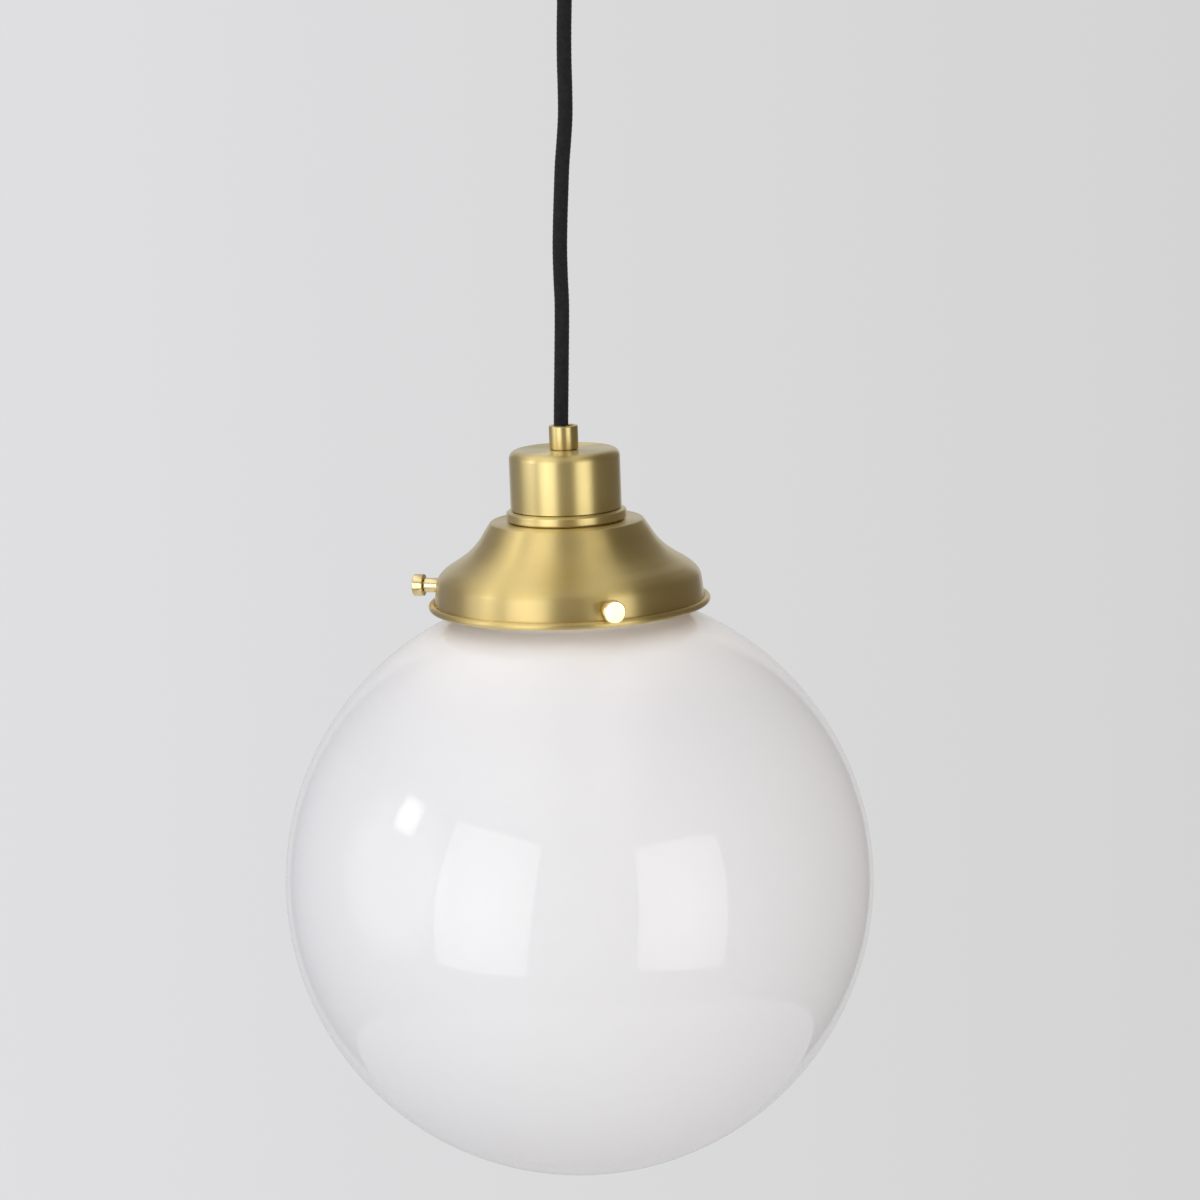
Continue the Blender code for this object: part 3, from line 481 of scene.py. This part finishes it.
def cut(obj, cutter):
    """Takes the cutter away from the piece and leaves a plain mesh."""
    boolean = obj.modifiers.new("cut", "BOOLEAN")
    boolean.operation = "DIFFERENCE"
    boolean.solver = "EXACT"
    boolean.object = cutter
    bpy.context.view_layer.update()
    mesh = bpy.data.meshes.new_from_object(obj.evaluated_get(bpy.context.evaluated_depsgraph_get()))
    obj.modifiers.clear()
    obj.data = mesh
    mesh.set_sharp_from_angle(angle=math.radians(SHARP_EDGE))
    bpy.data.objects.remove(cutter)


def linked(name, bm, place=None):
    """An object of the bmesh, in the scene."""
    mesh = bpy.data.meshes.new(name)
    bm.to_mesh(mesh)
    bm.free()
    obj = bpy.data.objects.new(name, mesh)
    bpy.context.scene.collection.objects.link(obj)
    if place is not None:
        obj.matrix_world = place
    return obj


def round_cutter(radius, length, place):
    bm = bmesh.new()
    bmesh.ops.create_cone(
        bm, cap_ends=True, segments=48, radius1=radius * MM, radius2=radius * MM, depth=length * MM)
    return linked("cutter", bm, place)


# Cord --------------------------------------------------------------------------------------------

FLEX_R = 3.1
CORD_ROUTE = [                          # metres, from the rose down to the lamp
    (0.0, 0.0, -0.0383), (0.0, 0.0, -0.044), (0.0009, 0.0002, -0.054), (0.0032, 0.0005, -0.066),
    (0.0057, 0.0007, -0.079), (0.007, 0.0007, -0.091), (0.0069, 0.0005, -0.1035),
    (0.0063, 0.0003, -0.116), (0.0059, 0.0001, -0.1285), (0.0058, 0.0, -0.1405),
    (0.0055, -0.0001, -0.1515), (0.0046, 0.0, -0.1615), (0.0035, 0.0002, -0.1715),
    (0.0027, 0.0004, -0.1825), (0.0019, 0.0005, -0.1945), (0.0013, 0.0005, -0.2065),
    (0.0012, 0.0004, -0.218), (0.0013, 0.0002, -0.228), (0.001, 0.0, -0.238),
    (0.0005, -0.0001, -0.249), (0.0, -0.0002, -0.26), (-0.0005, -0.0002, -0.2705),
    (-0.0009, -0.0001, -0.2797),
]
BRAID_STRANDS = 12                      # bundles running each way round
BRAID_PITCH = 0.0011                    # height of one bundle's crossing
BRAID_DEPTH = 0.16                      # millimetres from the top of a bundle to the groove beside it


def braid_height(angle, along):
    """Height of a plain braid at a place on the flex, from 0 in the grooves to 1 on the bundles."""
    a = BRAID_STRANDS * angle / math.tau + along / (2 * BRAID_PITCH)
    b = BRAID_STRANDS * angle / math.tau - along / (2 * BRAID_PITCH)
    over_a = 0.5 + 0.5 * np.cos(math.pi * (np.floor(a) + b - 0.5))
    crown_a = 1.0 - (2.0 * (a - np.floor(a)) - 1.0) ** 2
    crown_b = 1.0 - (2.0 * (b - np.floor(b)) - 1.0) ** 2
    over_b = 0.5 + 0.5 * np.cos(math.pi * (np.floor(b) + a + 0.5))
    return np.maximum(crown_a * (0.35 + 0.65 * over_a), crown_b * (0.35 + 0.65 * over_b))


def hanging_cord():
    """The braided flex between the two grips, as one tube with its braid in the mesh."""
    sides = 96
    step = 0.00028                      # metres between the tube's rings
    path = evenly_spaced(smooth_path(CORD_ROUTE, 12), step)
    vertices = []
    along = 0.0
    side_way = Vector((0.0, 1.0, 0.0))
    for i, point in enumerate(path):
        tangent = (path[min(i + 1, len(path) - 1)] - path[max(i - 1, 0)]).normalized()
        side_way = (side_way - tangent * side_way.dot(tangent)).normalized()
        other_way = tangent.cross(side_way)
        if i:
            along += (point - path[i - 1]).length
        angles = np.arange(sides) * math.tau / sides
        radii = FLEX_R * MM - BRAID_DEPTH * MM * (1.0 - braid_height(angles, along))
        spokes = np.outer(np.cos(angles), side_way) + np.outer(np.sin(angles), other_way)
        vertices += (np.array(point) + radii[:, None] * spokes).tolist()
    last = (len(path) - 1) * sides
    faces = [
        (i * sides + k, i * sides + (k + 1) % sides, (i + 1) * sides + (k + 1) % sides, (i + 1) * sides + k)
        for i in range(len(path) - 1) for k in range(sides)]
    faces.append(tuple(range(sides))[::-1])
    faces.append(tuple(range(last, last + sides)))
    obj = finish_mesh("flex", vertices, faces, TEXTILE, None, ("cord",), 60.0)
    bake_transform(obj)


# Grips -------------------------------------------------------------------------------------------

GRIP_BARREL_R = 6.1
GRIP_STEM_R = 4.9
GRIP_BORE_R = 4.2
GRIP_BARREL_L = 9.7
GRIP_STEM_END = -8.5
GRIP_SCREW_R = 6.0                      # where the grub screw's outer end lies, from the axis
GRIP_SCREW_ANGLE = math.radians(40.0)


def grip(name, body, face_z, up):
    """Turned cord grip: a barrel with a softened mouth on a threaded stem."""
    foot = 0.3
    top = foot + GRIP_BARREL_L
    edge = 0.55
    profile = [(GRIP_BORE_R, top - 0.5), *arc(GRIP_BORE_R + 0.4, top - 0.4, 0.4, 180, 90, 5)]
    profile += arc(GRIP_BARREL_R - edge, top - edge, edge, 90, 0, 6)
    profile += arc(GRIP_BARREL_R - 0.25, foot + 0.25, 0.25, 0, -90, 4)
    thread_end = GRIP_STEM_END + 0.2
    stem = divided([(GRIP_STEM_R, foot), (GRIP_STEM_R, thread_end)], 0.12)
    profile += stem + [(GRIP_STEM_R - 0.3, GRIP_STEM_END), (GRIP_BORE_R, GRIP_STEM_END)]
    turn = Matrix.Identity(4) if up else Matrix.Rotation(math.pi, 4, "X")
    place = Matrix.Translation((0.0, 0.0, face_z * MM)) @ turn
    obj = lathe(
        f"{name}_turned", profile, BRASS, body, (name,), sides=SMALL_ROUND,
        shape=thread(GRIP_STEM_R, GRIP_STEM_R - 0.45, 1.0, foot - 0.3, thread_end), place=place)
    side = 1.0 if up else -1.0
    screw_place = outward(GRIP_SCREW_ANGLE, GRIP_SCREW_R, face_z + side * (foot + GRIP_BARREL_L / 2))
    cut(obj, round_cutter(1.7, 6.0, screw_place))
    socket_screw(f"{name}_screw_socket", body, (f"{name}_screw",), screw_place)


def socket_screw(name, body, replaced, place):
    """Grub screw with a hexagon socket in its outer end."""
    radius, length, socket_r, socket_l = 1.4, 3.1, 0.75, 1.4
    profile = [(0.0, -socket_l), (socket_r, -socket_l), (socket_r, -0.05), (socket_r + 0.1, 0.0)]
    profile += [(radius - 0.15, 0.0), (radius, -0.15)]
    profile += divided([(radius, -0.2), (radius, 0.2 - length)], 0.1)
    profile += [(radius - 0.3, -length), (0.0, -length)]
    threaded = thread(radius, radius - 0.2, 0.5, -0.3, 0.3 - length, 0.3)

    def shape(angle, ring_r, z):
        if ring_r < 0.9:
            return ring_r * 0.93 / max(math.cos((angle % (math.pi / 3)) - math.pi / 6), 0.1)
        return threaded(angle, ring_r, z)
    lathe(
        name, profile, STEEL, body, replaced, sides=48, loop=False, shape=shape, place=place)


# Ceiling rose ------------------------------------------------------------------------------------

def rose_cup():
    """Spun cup: soft bottom edge, rolled rim at the ceiling, and a dished seat for the grip."""
    fillet, sheet = 6.0, 0.8
    centre = (ROSE_R - fillet, ROSE_FLOOR_Z + fillet)
    outside = [(ROSE_R - 0.5, -0.3), (ROSE_R, -0.55), (ROSE_R, -20.0), *arc(*centre, fillet, 0, -90, 16)]
    seat = [(5.2, ROSE_FLOOR_Z), (5.2, ROSE_FLOOR_Z + sheet)]
    inside = arc(*centre, fillet - sheet, -90, 0, 12)
    inside += [(ROSE_R - sheet, -0.55), (ROSE_R - sheet + 0.2, -0.3)]
    obj = lathe("rose_cup_spun", outside + seat + inside, BRASS, "ceiling", ("rose_cup",))
    for angle in (0.0, math.pi):
        cut(obj, round_cutter(2.2, 8.0, outward(angle, ROSE_R, ROSE_SCREW_Z)))


def rose_screw(side, angle):
    """Knurled side screw of the rose: round head, thread on the stem."""
    head_r, head, stem_r, stem_l = 4.5, 4.0, 1.9, 5.8
    profile = [(0.0, head), *arc(head_r - 0.7, head - 0.7, 0.7, 90, 10, 5)]
    profile += divided([(head_r, head - 0.9), (head_r, 0.6)], 0.5) + [(head_r - 0.5, 0.0), (stem_r, 0.0)]
    profile += divided([(stem_r, -0.1), (stem_r, -stem_l + 0.3)], 0.1)
    profile += [(stem_r - 0.4, -stem_l), (0.0, -stem_l)]
    knurled = knurl(36, 0.22, 0.0)
    threaded = thread(stem_r, stem_r - 0.3, 0.7, -0.3, -stem_l + 0.3)

    def shape(angle, radius, z):
        return (knurled if radius > head_r - 0.05 else threaded)(angle, radius, z)
    lathe(
        f"rose_screw_{side}_knurled", profile, BRIGHT, "ceiling",
        (f"rose_screw_{side}",), sides=144, loop=False, shape=shape,
        place=outward(angle, ROSE_R + 0.3, ROSE_SCREW_Z))


def bracket():
    """Zinc-plated ceiling plate with its slots, entry and tabs."""
    radius, thick = 47.0, 1.6
    edge = 0.3
    profile = [(0.0, 0.0), (radius - edge, 0.0), (radius, -edge), (radius, edge - thick)]
    profile += [(radius - edge, -thick), (0.0, -thick)]
    plate = lathe("bracket_plate", profile, ZINC, "ceiling", ("ceiling_bracket",), loop=False)
    cut(plate, round_cutter(8.0, 6.0, Matrix.Translation((0.0, ENTRY_Y, 0.0))))
    cut(plate, round_cutter(1.9, 6.0, Matrix.Translation((-0.017, 0.020, 0.0))))
    for side in (-1, 1):
        cut(plate, slot_cutter(side * 0.029))
        tab = bent_tab(side)
        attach(tab, "ceiling")


def slot_cutter(x):
    """Cutter for a woodscrew's slot, with round ends, at x metres from the middle."""
    bm = bmesh.new()
    bmesh.ops.create_cube(bm, size=1.0)
    bmesh.ops.scale(bm, vec=(0.005, 0.012, 0.006), verts=bm.verts)
    upright = [e for e in bm.edges if abs(e.verts[0].co.z - e.verts[1].co.z) > 0.001]
    bmesh.ops.bevel(bm, geom=upright, offset=0.00245, segments=8, affect="EDGES")
    return linked("cutter", bm, Matrix.Translation((x, 0.0, 0.0)))


def bent_tab(side):
    """Tab that hangs from the plate's edge, with a hole for the side screw."""
    thick, distance = 1.6, 47.2
    bm = bmesh.new()
    bmesh.ops.create_cube(bm, size=1.0)
    bmesh.ops.scale(bm, vec=(thick * MM, 0.012, 0.012), verts=bm.verts)
    bmesh.ops.translate(bm, vec=(side * distance * MM, 0.0, -0.007), verts=bm.verts)
    low = [e for e in bm.edges if all(v.co.z < -0.01 for v in e.verts)]
    short = [e for e in low if abs(e.calc_length() - thick * MM) < 1e-5]
    bmesh.ops.bevel(bm, geom=short, offset=0.0025, segments=6, affect="EDGES")
    obj = linked(f"bracket_tab_{'right' if side > 0 else 'left'}", bm)
    obj.data.materials.append(ZINC)
    cut(obj, round_cutter(2.2, 6.0, outward(0.0, side * distance, ROSE_SCREW_Z)))
    return obj


def grommet():
    """Rubber grommet of the cable entry, with a flange under the plate."""
    waist, flange, lower = 7.7, 9.6, -1.9
    profile = [(waist - 0.4, -0.3), (waist, -0.5), (waist, lower)]
    profile += arc(flange - 0.4, lower - 0.4, 0.4, 90, -60, 6)
    profile += arc(waist - 1.6, lower - 1.6, 0.6, -60, -180, 6)
    profile += [(waist - 2.2, -0.6), (waist - 1.9, -0.3)]
    lathe(
        "grommet_moulded", profile, RUBBER, "ceiling", ("entry_grommet",), sides=SMALL_ROUND,
        place=Matrix.Translation((0.0, ENTRY_Y, 0.0)))


def ceiling_rose():
    bracket()
    rose_cup()
    grommet()
    grip("rose_grip", "ceiling", ROSE_FLOOR_Z, up=False)
    rose_screw("right", 0.0)
    rose_screw("left", math.pi)


# Lampholder --------------------------------------------------------------------------------------

E27_PITCH = 3.6


def holder_cap():
    """Drawn cover of the lampholder, with a small rolled foot."""
    radius, fillet, sheet, foot = 23.3, 3.3, 0.9, 4.2
    centre = (radius - fillet, CAP_TOP - fillet)
    outside = [(5.2, CAP_TOP), (radius - fillet - 0.4, CAP_TOP), *arc(*centre, fillet, 90, 0, 18)]
    outside += [(radius, foot + 0.5), (radius - 0.1, foot + 0.1), (radius - 0.3, foot)]
    inside = [(radius - sheet, foot), *arc(*centre, fillet - sheet, 0, 90, 12)]
    inside += [(5.2, CAP_TOP - sheet)]
    lathe(
        "holder_cap_drawn", outside + inside, BRASS, "lamp", ("holder_cap",),
        height=SHOULDER_Z)


def cap_ring():
    """Ring between the cover and the gallery: a sloping step, a full band and an undercut foot."""
    profile = [(19.9, 3.9), (23.4, 3.9), (23.75, 3.8), (24.7, 3.4)]
    profile += arc(24.6, 2.75, 0.6, 65, 0, 6) + [(25.1, 1.55), (25.1, 1.4)]
    profile += arc(24.6, 0.3, 0.6, 0, -75, 6) + [(24.4, -0.45), (24.2, -0.6), (19.9, -0.6)]
    lathe("cap_ring_turned", profile, BRASS, "lamp", ("cap_ring",), height=SHOULDER_Z)


def clamp_ring():
    """Knurled ring on the skirt that clamps the gallery against the cover."""
    top = -2.0
    rim = [(24.9, top), (25.5, top - 0.4), (25.5, top - 3.0), (24.9, top - 3.4)]
    profile = [(19.9, top), *divided(rim, 0.6), (19.9, top - 3.4)]
    lathe(
        "clamp_ring_knurled", profile, BRASS, "lamp", ("clamp_ring",), height=SHOULDER_Z,
        sides=360, shape=knurl(60, 0.35, 25.4))


def skirt():
    """Threaded skirt of the lampholder."""
    outer = divided([(19.6, 5.9), (19.6, -23.6)], 0.3)
    profile = [(17.6, 8.0), (21.8, 8.0), (22.0, 7.8), (22.0, 6.2), (21.8, 6.0), *outer]
    profile += [(19.2, -24.0), (17.6, -24.0)]
    lathe(
        "lampholder_skirt_threaded", profile, BRASS, "lamp", ("lampholder_skirt",),
        height=SHOULDER_Z, shape=thread(19.6, 19.0, 2.2, 5.0, -23.4), sharp=50.0)


def screw_shell():
    """E27 shell, rolled with a rounded thread."""
    wall = divided([(14.1, -0.4), (14.1, -23.0)], 0.35)
    bore = [(x - 0.5, z) for x, z in wall[::-1]]
    profile = [(6.0, 2.1), *arc(12.6, 0.6, 1.5, 90, 0, 6), *wall, *bore]
    profile += arc(12.3, 0.3, 1.2, 0, 90, 5) + [(6.0, 1.5)]

    def shape(angle, radius, z):
        if z > -0.5 or radius < 13.3:
            return radius
        return radius - 0.12 * (1.0 - math.cos(math.tau * (z / E27_PITCH + angle / math.tau)))
    lathe(
        "screw_shell_rolled", profile, BRASS, "lamp", ("screw_shell",), height=SHOULDER_Z,
        sides=96, shape=shape, sharp=50.0)


# Gallery and thumbscrews -------------------------------------------------------------------------

GALLERY_TOP = -0.9
RIM_R = 56.0
BOSS_FOOT = 56.7                        # where a boss and a screw's head start, from the axis
HEAD_FOOT = 63.3
GALLERY_SIDE = [
    (32.3, -1.25), (34.3, -4.2), (37.4, -9.0), (41.5, -13.5),
    (46.6, -17.3), (51.9, -20.7), (55.2, -24.3), (56.2, -29.3), (56.6, -34.9),
]


def gallery():
    """Spun gallery: flat top, hollow flare, full shoulder, and a rim rolled round into a bead."""
    sheet = 0.8
    bead_r, bead_z, tube = 57.85, -35.7, 1.45
    top = [(20.2, GALLERY_TOP), (31.6, GALLERY_TOP), (32.0, GALLERY_TOP - 0.12)]
    side = [(p.x, p.y) for p in smooth_path(GALLERY_SIDE, 8)]
    inner = offset_inwards(side[1:], sheet)
    bead = arc(bead_r, bead_z, tube, 145, -155, 36)
    foot = [(inner[-1][0] + 0.35, bead_z - 0.75), (inner[-1][0], bead_z - 0.3)]
    underside = [(31.6, GALLERY_TOP - sheet), (20.2, GALLERY_TOP - sheet)]
    profile = top + side + bead + foot + inner[::-1] + underside
    obj = lathe(
        "gallery_spun", profile, SPUN_BRASS, "lamp", ("gallery",), height=SHOULDER_Z,
        sides=224)
    for degrees in THUMBSCREWS.values():
        cut(obj, round_cutter(2.2, 6.0, outward(math.radians(degrees), RIM_R, SHOULDER_Z + THUMBSCREW_Z)))


def thumbscrew(name, degrees):
    """Polished thumbscrew with a softly edged head, and the round boss that it runs in."""
    angle = math.radians(degrees)
    height = SHOULDER_Z + THUMBSCREW_Z
    boss = [(2.2, 6.2), *arc(2.75, 5.85, 0.35, 90, 0, 5), *arc(2.85, 0.25, 0.25, 0, -90, 4), (2.2, 0.0)]
    lathe(
        f"screw_boss_{name}_turned", boss, BRIGHT, "lamp", (f"screw_boss_{name}",),
        sides=SMALL_ROUND, place=outward(angle, BOSS_FOOT, height))
    head_r, head = 4.7, 4.4
    stud, tip, neck, end = 1.9, 1.4, -13.8, -16.5
    profile = [(0.0, head), (head_r - 0.85, head), *arc(head_r - 0.45, head - 0.45, 0.45, 90, 0, 6)]
    profile += arc(head_r - 0.3, 0.3, 0.3, 0, -90, 4) + [(stud, 0.0)]
    profile += divided([(stud, -0.05), (stud, neck + 0.3)], 0.09) + [(stud - 0.3, neck), (tip, neck - 0.1)]
    profile += [(tip, end + 0.3), (tip - 0.3, end), (0.0, end)]
    lathe(
        f"thumbscrew_{name}_turned", profile, BRIGHT, f"thumbscrew_{name}",
        (f"thumbscrew_{name}",), sides=96, loop=False,
        shape=thread(stud, stud - 0.28, 0.7, -0.2, neck + 0.2, 0.4),
        place=outward(angle, HEAD_FOOT, height))


# Globe and bulb ----------------------------------------------------------------------------------

def globe():
    """Blown opal ball with a neck and a rolled lip."""
    centre, radius, glass, neck = -156.2, 125.0, 3.0, 46.5
    blend_r = 4.0
    bore = neck - glass
    inner = radius - glass
    inner_meet = math.degrees(math.acos(bore / inner))
    outer_meet = math.degrees(math.acos((neck + blend_r * 0.35) / radius))
    inside = arc(0.0, centre, inner, -90, inner_meet, 72)
    corner_z = centre + radius * math.sin(math.radians(outer_meet))
    outside = [(neck, corner_z + 1.9), (neck + 0.3, corner_z + 0.9)]
    outside += arc(0.0, centre, radius, outer_meet, -90, 96)
    top = [(bore, -22.0), *arc(46.7, -20.9, 1.7, 150, -50, 16), (neck + 0.25, -23.4), (neck, -24.4)]
    profile = inside + top + outside
    profile[0] = (0.0, profile[0][1])
    profile[-1] = (0.0, profile[-1][1])
    lathe(
        "globe_blown", profile, GLASS, "globe", ("globe",), height=SHOULDER_Z, sides=224,
        loop=False, sharp=60.0)


def bulb():
    """LED lamp: rolled E27 cap, collar and frosted dome."""
    cap = [(0.0, -6.6), (10.6, -6.6), (11.6, -7.0), (12.4, -8.2)]
    cap += divided([(13.0, -9.4), (13.0, -25.4)], 0.3) + [(13.0, -27.0), (0.0, -27.0)]

    def rolled(angle, radius, z):
        if radius < 12.9 or z < -25.0:
            return radius
        fade = min(1.0, (z + 25.4) / 2.0)
        return radius - 0.42 * fade * (1.0 - math.cos(math.tau * (z / E27_PITCH + angle / math.tau)))
    lathe(
        "bulb_cap_rolled", cap, NICKEL, "bulb", ("bulb_cap",), height=SHOULDER_Z, sides=96,
        loop=False, shape=rolled, sharp=50.0)
    flare = [(14.4, -28.6), (16.2, -33.0), (18.8, -39.0), (21.2, -45.0), (22.3, -49.4)]
    collar = [(0.0, -27.3), (13.2, -27.3), (14.0, -27.7), *[(p.x, p.y) for p in smooth_path(flare, 6)]]
    collar += [(22.1, -50.0), (0.0, -50.0)]
    lathe(
        "bulb_collar_moulded", collar, PLASTIC, "bulb", ("bulb_collar",),
        height=SHOULDER_Z, loop=False)
    side = smooth_path([(22.4, -50.3), (25.2, -56.0), (27.6, -62.0), (29.3, -70.0)], 5)
    outside = [(p.x, p.y) for p in side] + arc(0.0, -80.0, 30.0, 14, -90, 40)
    inside = offset_inwards(outside[:-4], 1.0) + [(0.0, -109.0)]
    outside[-1] = (0.0, -110.0)
    lathe(
        "bulb_dome_frosted", inside[::-1] + outside, FROSTED, "bulb", ("bulb_dome",),
        height=SHOULDER_Z, sides=128, loop=False, sharp=50.0)


# CAD pieces that keep their shape ----------------------------------------------------------------

def finish_cad_nodes():
    """The small pieces inside the rose and the cover keep their solids and get their materials."""
    kept = {
        "terminal_block": NYLON, "block_screw": STEEL, "bracket_earth_screw": STEEL,
        "rose_grip_nut": BRASS, "holder_grip_nut": BRASS, "earth_tag": BRASS,
        "rose_flex_tail": TEXTILE, "holder_flex_tail": TEXTILE, "bracket_earth_link": GREEN,
        "porcelain_core": PORCELAIN, "centre_contact": BRIGHT, "bulb_contact": SOLDER,
        "bulb_insulator": BLACK_GLASS,
    }
    for pole, color in (("live", BROWN), ("neutral", BLUE), ("earth", GREEN)):
        kept[f"rose_{pole}_wire"] = color
        kept[f"holder_{pole}_wire"] = color
        kept[f"terminal_screw_{pole}"] = STEEL
    kept["holder_screw_live"] = STEEL
    kept["holder_screw_neutral"] = STEEL
    for name, material in kept.items():
        mesh = NODES[name].data
        mesh.materials.clear()
        mesh.materials.append(material)
        mesh.shade_smooth()
        mesh.set_sharp_from_angle(angle=math.radians(SHARP_EDGE))


# Studio ------------------------------------------------------------------------------------------

LAMP_MIDDLE = Vector((0.0, 0.0, -0.475))     # centre of the globe, which the lights aim at
FLOOR_Z = -2.2
FLOOR_R = 2.5
# Brightness of the studio's ceiling in reflections, by place from far left (0) to far right (1).
OVERHEAD = [(0.0, 0.9), (0.2, 0.98), (0.37, 0.98), (0.475, 0.42), (0.62, 0.8), (0.73, 0.12), (1.0, 0.12)]
# Colours of the surround; a pair is left and right.
PAPER = ((0.745, 0.745, 0.76), (0.65, 0.65, 0.65))
EVEN_LOW = ((0.50, 0.50, 0.52), (0.44, 0.425, 0.415))
EVEN_HIGH = ((1.16, 1.155, 1.20), (0.88, 0.84, 0.81))
DIM_SIDES = ((0.36, 0.355, 0.40), (0.18, 0.16, 0.145))
CEILING_TINT = (1.26, 1.22, 1.16)
WINDOW = (1.45, 1.45, 1.55)
WINDOW_WAY = (-0.97, -0.21, 0.12)
WALL_BEHIND = (0.62, 0.62, 0.62)


def aimed(place, roll):
    """The matrix of a light that faces the globe, turned about its own axis by roll."""
    place = Vector(place)
    facing = (LAMP_MIDDLE - place).to_track_quat("-Z", "Y").to_matrix().to_4x4()
    return Matrix.Translation(place) @ facing @ Matrix.Rotation(roll, 4, "Z")


def soft_box(name, place, size, radiance, edge, color, roll=0.0):
    """A soft box that is brighter in its middle; edge is the brightness left at its corners."""
    data = bpy.data.lights.new(name, "AREA")
    data.shape = "RECTANGLE"
    data.size, data.size_y = size
    data.energy = radiance * math.pi * size[0] * size[1]
    data.color = color
    light = bpy.data.objects.new(name, data)
    bpy.context.scene.collection.objects.link(light)
    light.matrix_world = aimed(place, roll)
    data.use_nodes = True
    nodes = Nodes(data.node_tree, "Normal")
    across = nodes.add("ShaderNodeNewGeometry").outputs["Parametric"]
    distance = nodes.add("ShaderNodeVectorMath", operation="DISTANCE")
    nodes.put(across, distance, 0)
    distance.inputs[1].default_value = (0.5, 0.5, 0.0)
    fade = nodes.range(distance.outputs["Value"], 1.0, edge, 0.0, 0.7)
    nodes.put(fade, nodes.tree.nodes["Emission"], "Strength")


def surround():
    """What the lamp stands in: a pale backdrop for the camera, soft even light for matt surfaces, and a
    dim studio with a bright wall behind and a window far left for what reflects."""
    world = bpy.data.worlds.new("surround")
    bpy.context.scene.world = world
    world.use_nodes = True
    world.cycles.sampling_method = "NONE"
    nodes = Nodes(world.node_tree, "Generated")
    x, y, z = nodes.split()
    sides = nodes.blend(nodes.range(x, 0.0, 1.0, -1.0, 0.9), *DIM_SIDES)
    lobes = nodes.ramp(nodes.range(x, 0.0, 1.0, -1.0, 1.0), OVERHEAD)
    overhead = nodes.blend(lobes, (0.0, 0.0, 0.0), CEILING_TINT)
    ceiling = nodes.blend(nodes.range(z, 0.0, 1.0, 0.45, 0.8), sides, overhead)
    towards_window = nodes.add("ShaderNodeVectorMath", operation="DOT_PRODUCT")
    nodes.put(nodes.place, towards_window, 0)
    towards_window.inputs[1].default_value = WINDOW_WAY
    window = nodes.range(towards_window.outputs["Value"], 0.0, 1.0, 0.88, 0.96)
    lit_side = nodes.blend(window, ceiling, WINDOW)
    inside_edges = nodes.math(
        "MULTIPLY", nodes.range(x, 0.0, 1.0, -0.46, -0.40), nodes.range(x, 1.0, 0.0, 0.36, 0.42))
    below_top = nodes.math(
        "MULTIPLY", nodes.range(y, 0.0, 1.0, 0.3, 0.5), nodes.range(z, 1.0, 0.0, 0.5, 0.7))
    behind = nodes.math("MULTIPLY", inside_edges, below_top)
    reflected = nodes.blend(behind, lit_side, WALL_BEHIND)
    left_to_right = nodes.range(x, 0.0, 1.0, -1.0, 1.0)
    low = nodes.blend(left_to_right, *EVEN_LOW)
    high = nodes.blend(left_to_right, *EVEN_HIGH)
    even = nodes.blend(nodes.range(z, 0.0, 1.0, -1.0, 1.0), low, high)
    paper = nodes.blend(nodes.range(x, 0.0, 1.0, -0.16, 0.18), *PAPER)
    rays = nodes.add("ShaderNodeLightPath").outputs
    seen = nodes.blend(rays["Is Glossy Ray"], even, reflected)
    nodes.put(nodes.blend(rays["Is Camera Ray"], seen, paper), nodes.tree.nodes["Background"], "Color")


def floor():
    """Pale floor far below the lamp, out of the camera's view."""
    sides = 96
    mesh = bpy.data.meshes.new("floor")
    rim = [radial(math.tau * k / sides, FLOOR_R / MM, FLOOR_Z / MM) for k in range(sides)]
    mesh.from_pydata(rim, [], [tuple(range(sides))])
    paint = Surface("floor_paint", (0.72, 0.72, 0.72), specular=0.1)
    mesh.materials.append(paint.set(
        color=paint.blend(paint.noise(0.6, 2.0), (0.72, 0.72, 0.72), (0.70, 0.70, 0.705)),
        roughness=paint.range(paint.noise(40.0), 0.8, 0.95)))
    obj = bpy.data.objects.new("floor", mesh)
    bpy.context.scene.collection.objects.link(obj)


def studio():
    """Soft boxes left and right of the camera, a small cool light far left, floor and surround."""
    soft_box(
        "soft_box_left", place=(-0.872, -1.215, -0.354), size=(1.00, 1.40), radiance=2.75, edge=0.5,
        color=(1.0, 1.0, 1.0), roll=-0.10)
    soft_box(
        "soft_box_right", place=(0.94, -1.17, -0.45), size=(0.93, 1.26), radiance=2.75, edge=0.5,
        color=(1.0, 0.99, 0.97), roll=-0.06)
    soft_box(
        "small_light_left", place=(-1.31, -0.347, 0.173), size=(0.29, 0.29), radiance=8.0, edge=0.05,
        color=(0.93, 0.95, 1.0))
    floor()
    surround()
    bpy.context.scene.view_settings.view_transform = "Standard"


make_camera()
hanging_cord()
ceiling_rose()
grip("holder_grip", "lamp", SHOULDER_Z + CAP_TOP, up=True)
holder_cap()
cap_ring()
clamp_ring()
skirt()
screw_shell()
gallery()
for screw_name, screw_degrees in THUMBSCREWS.items():
    thumbscrew(screw_name, screw_degrees)
globe()
bulb()
finish_cad_nodes()
studio()
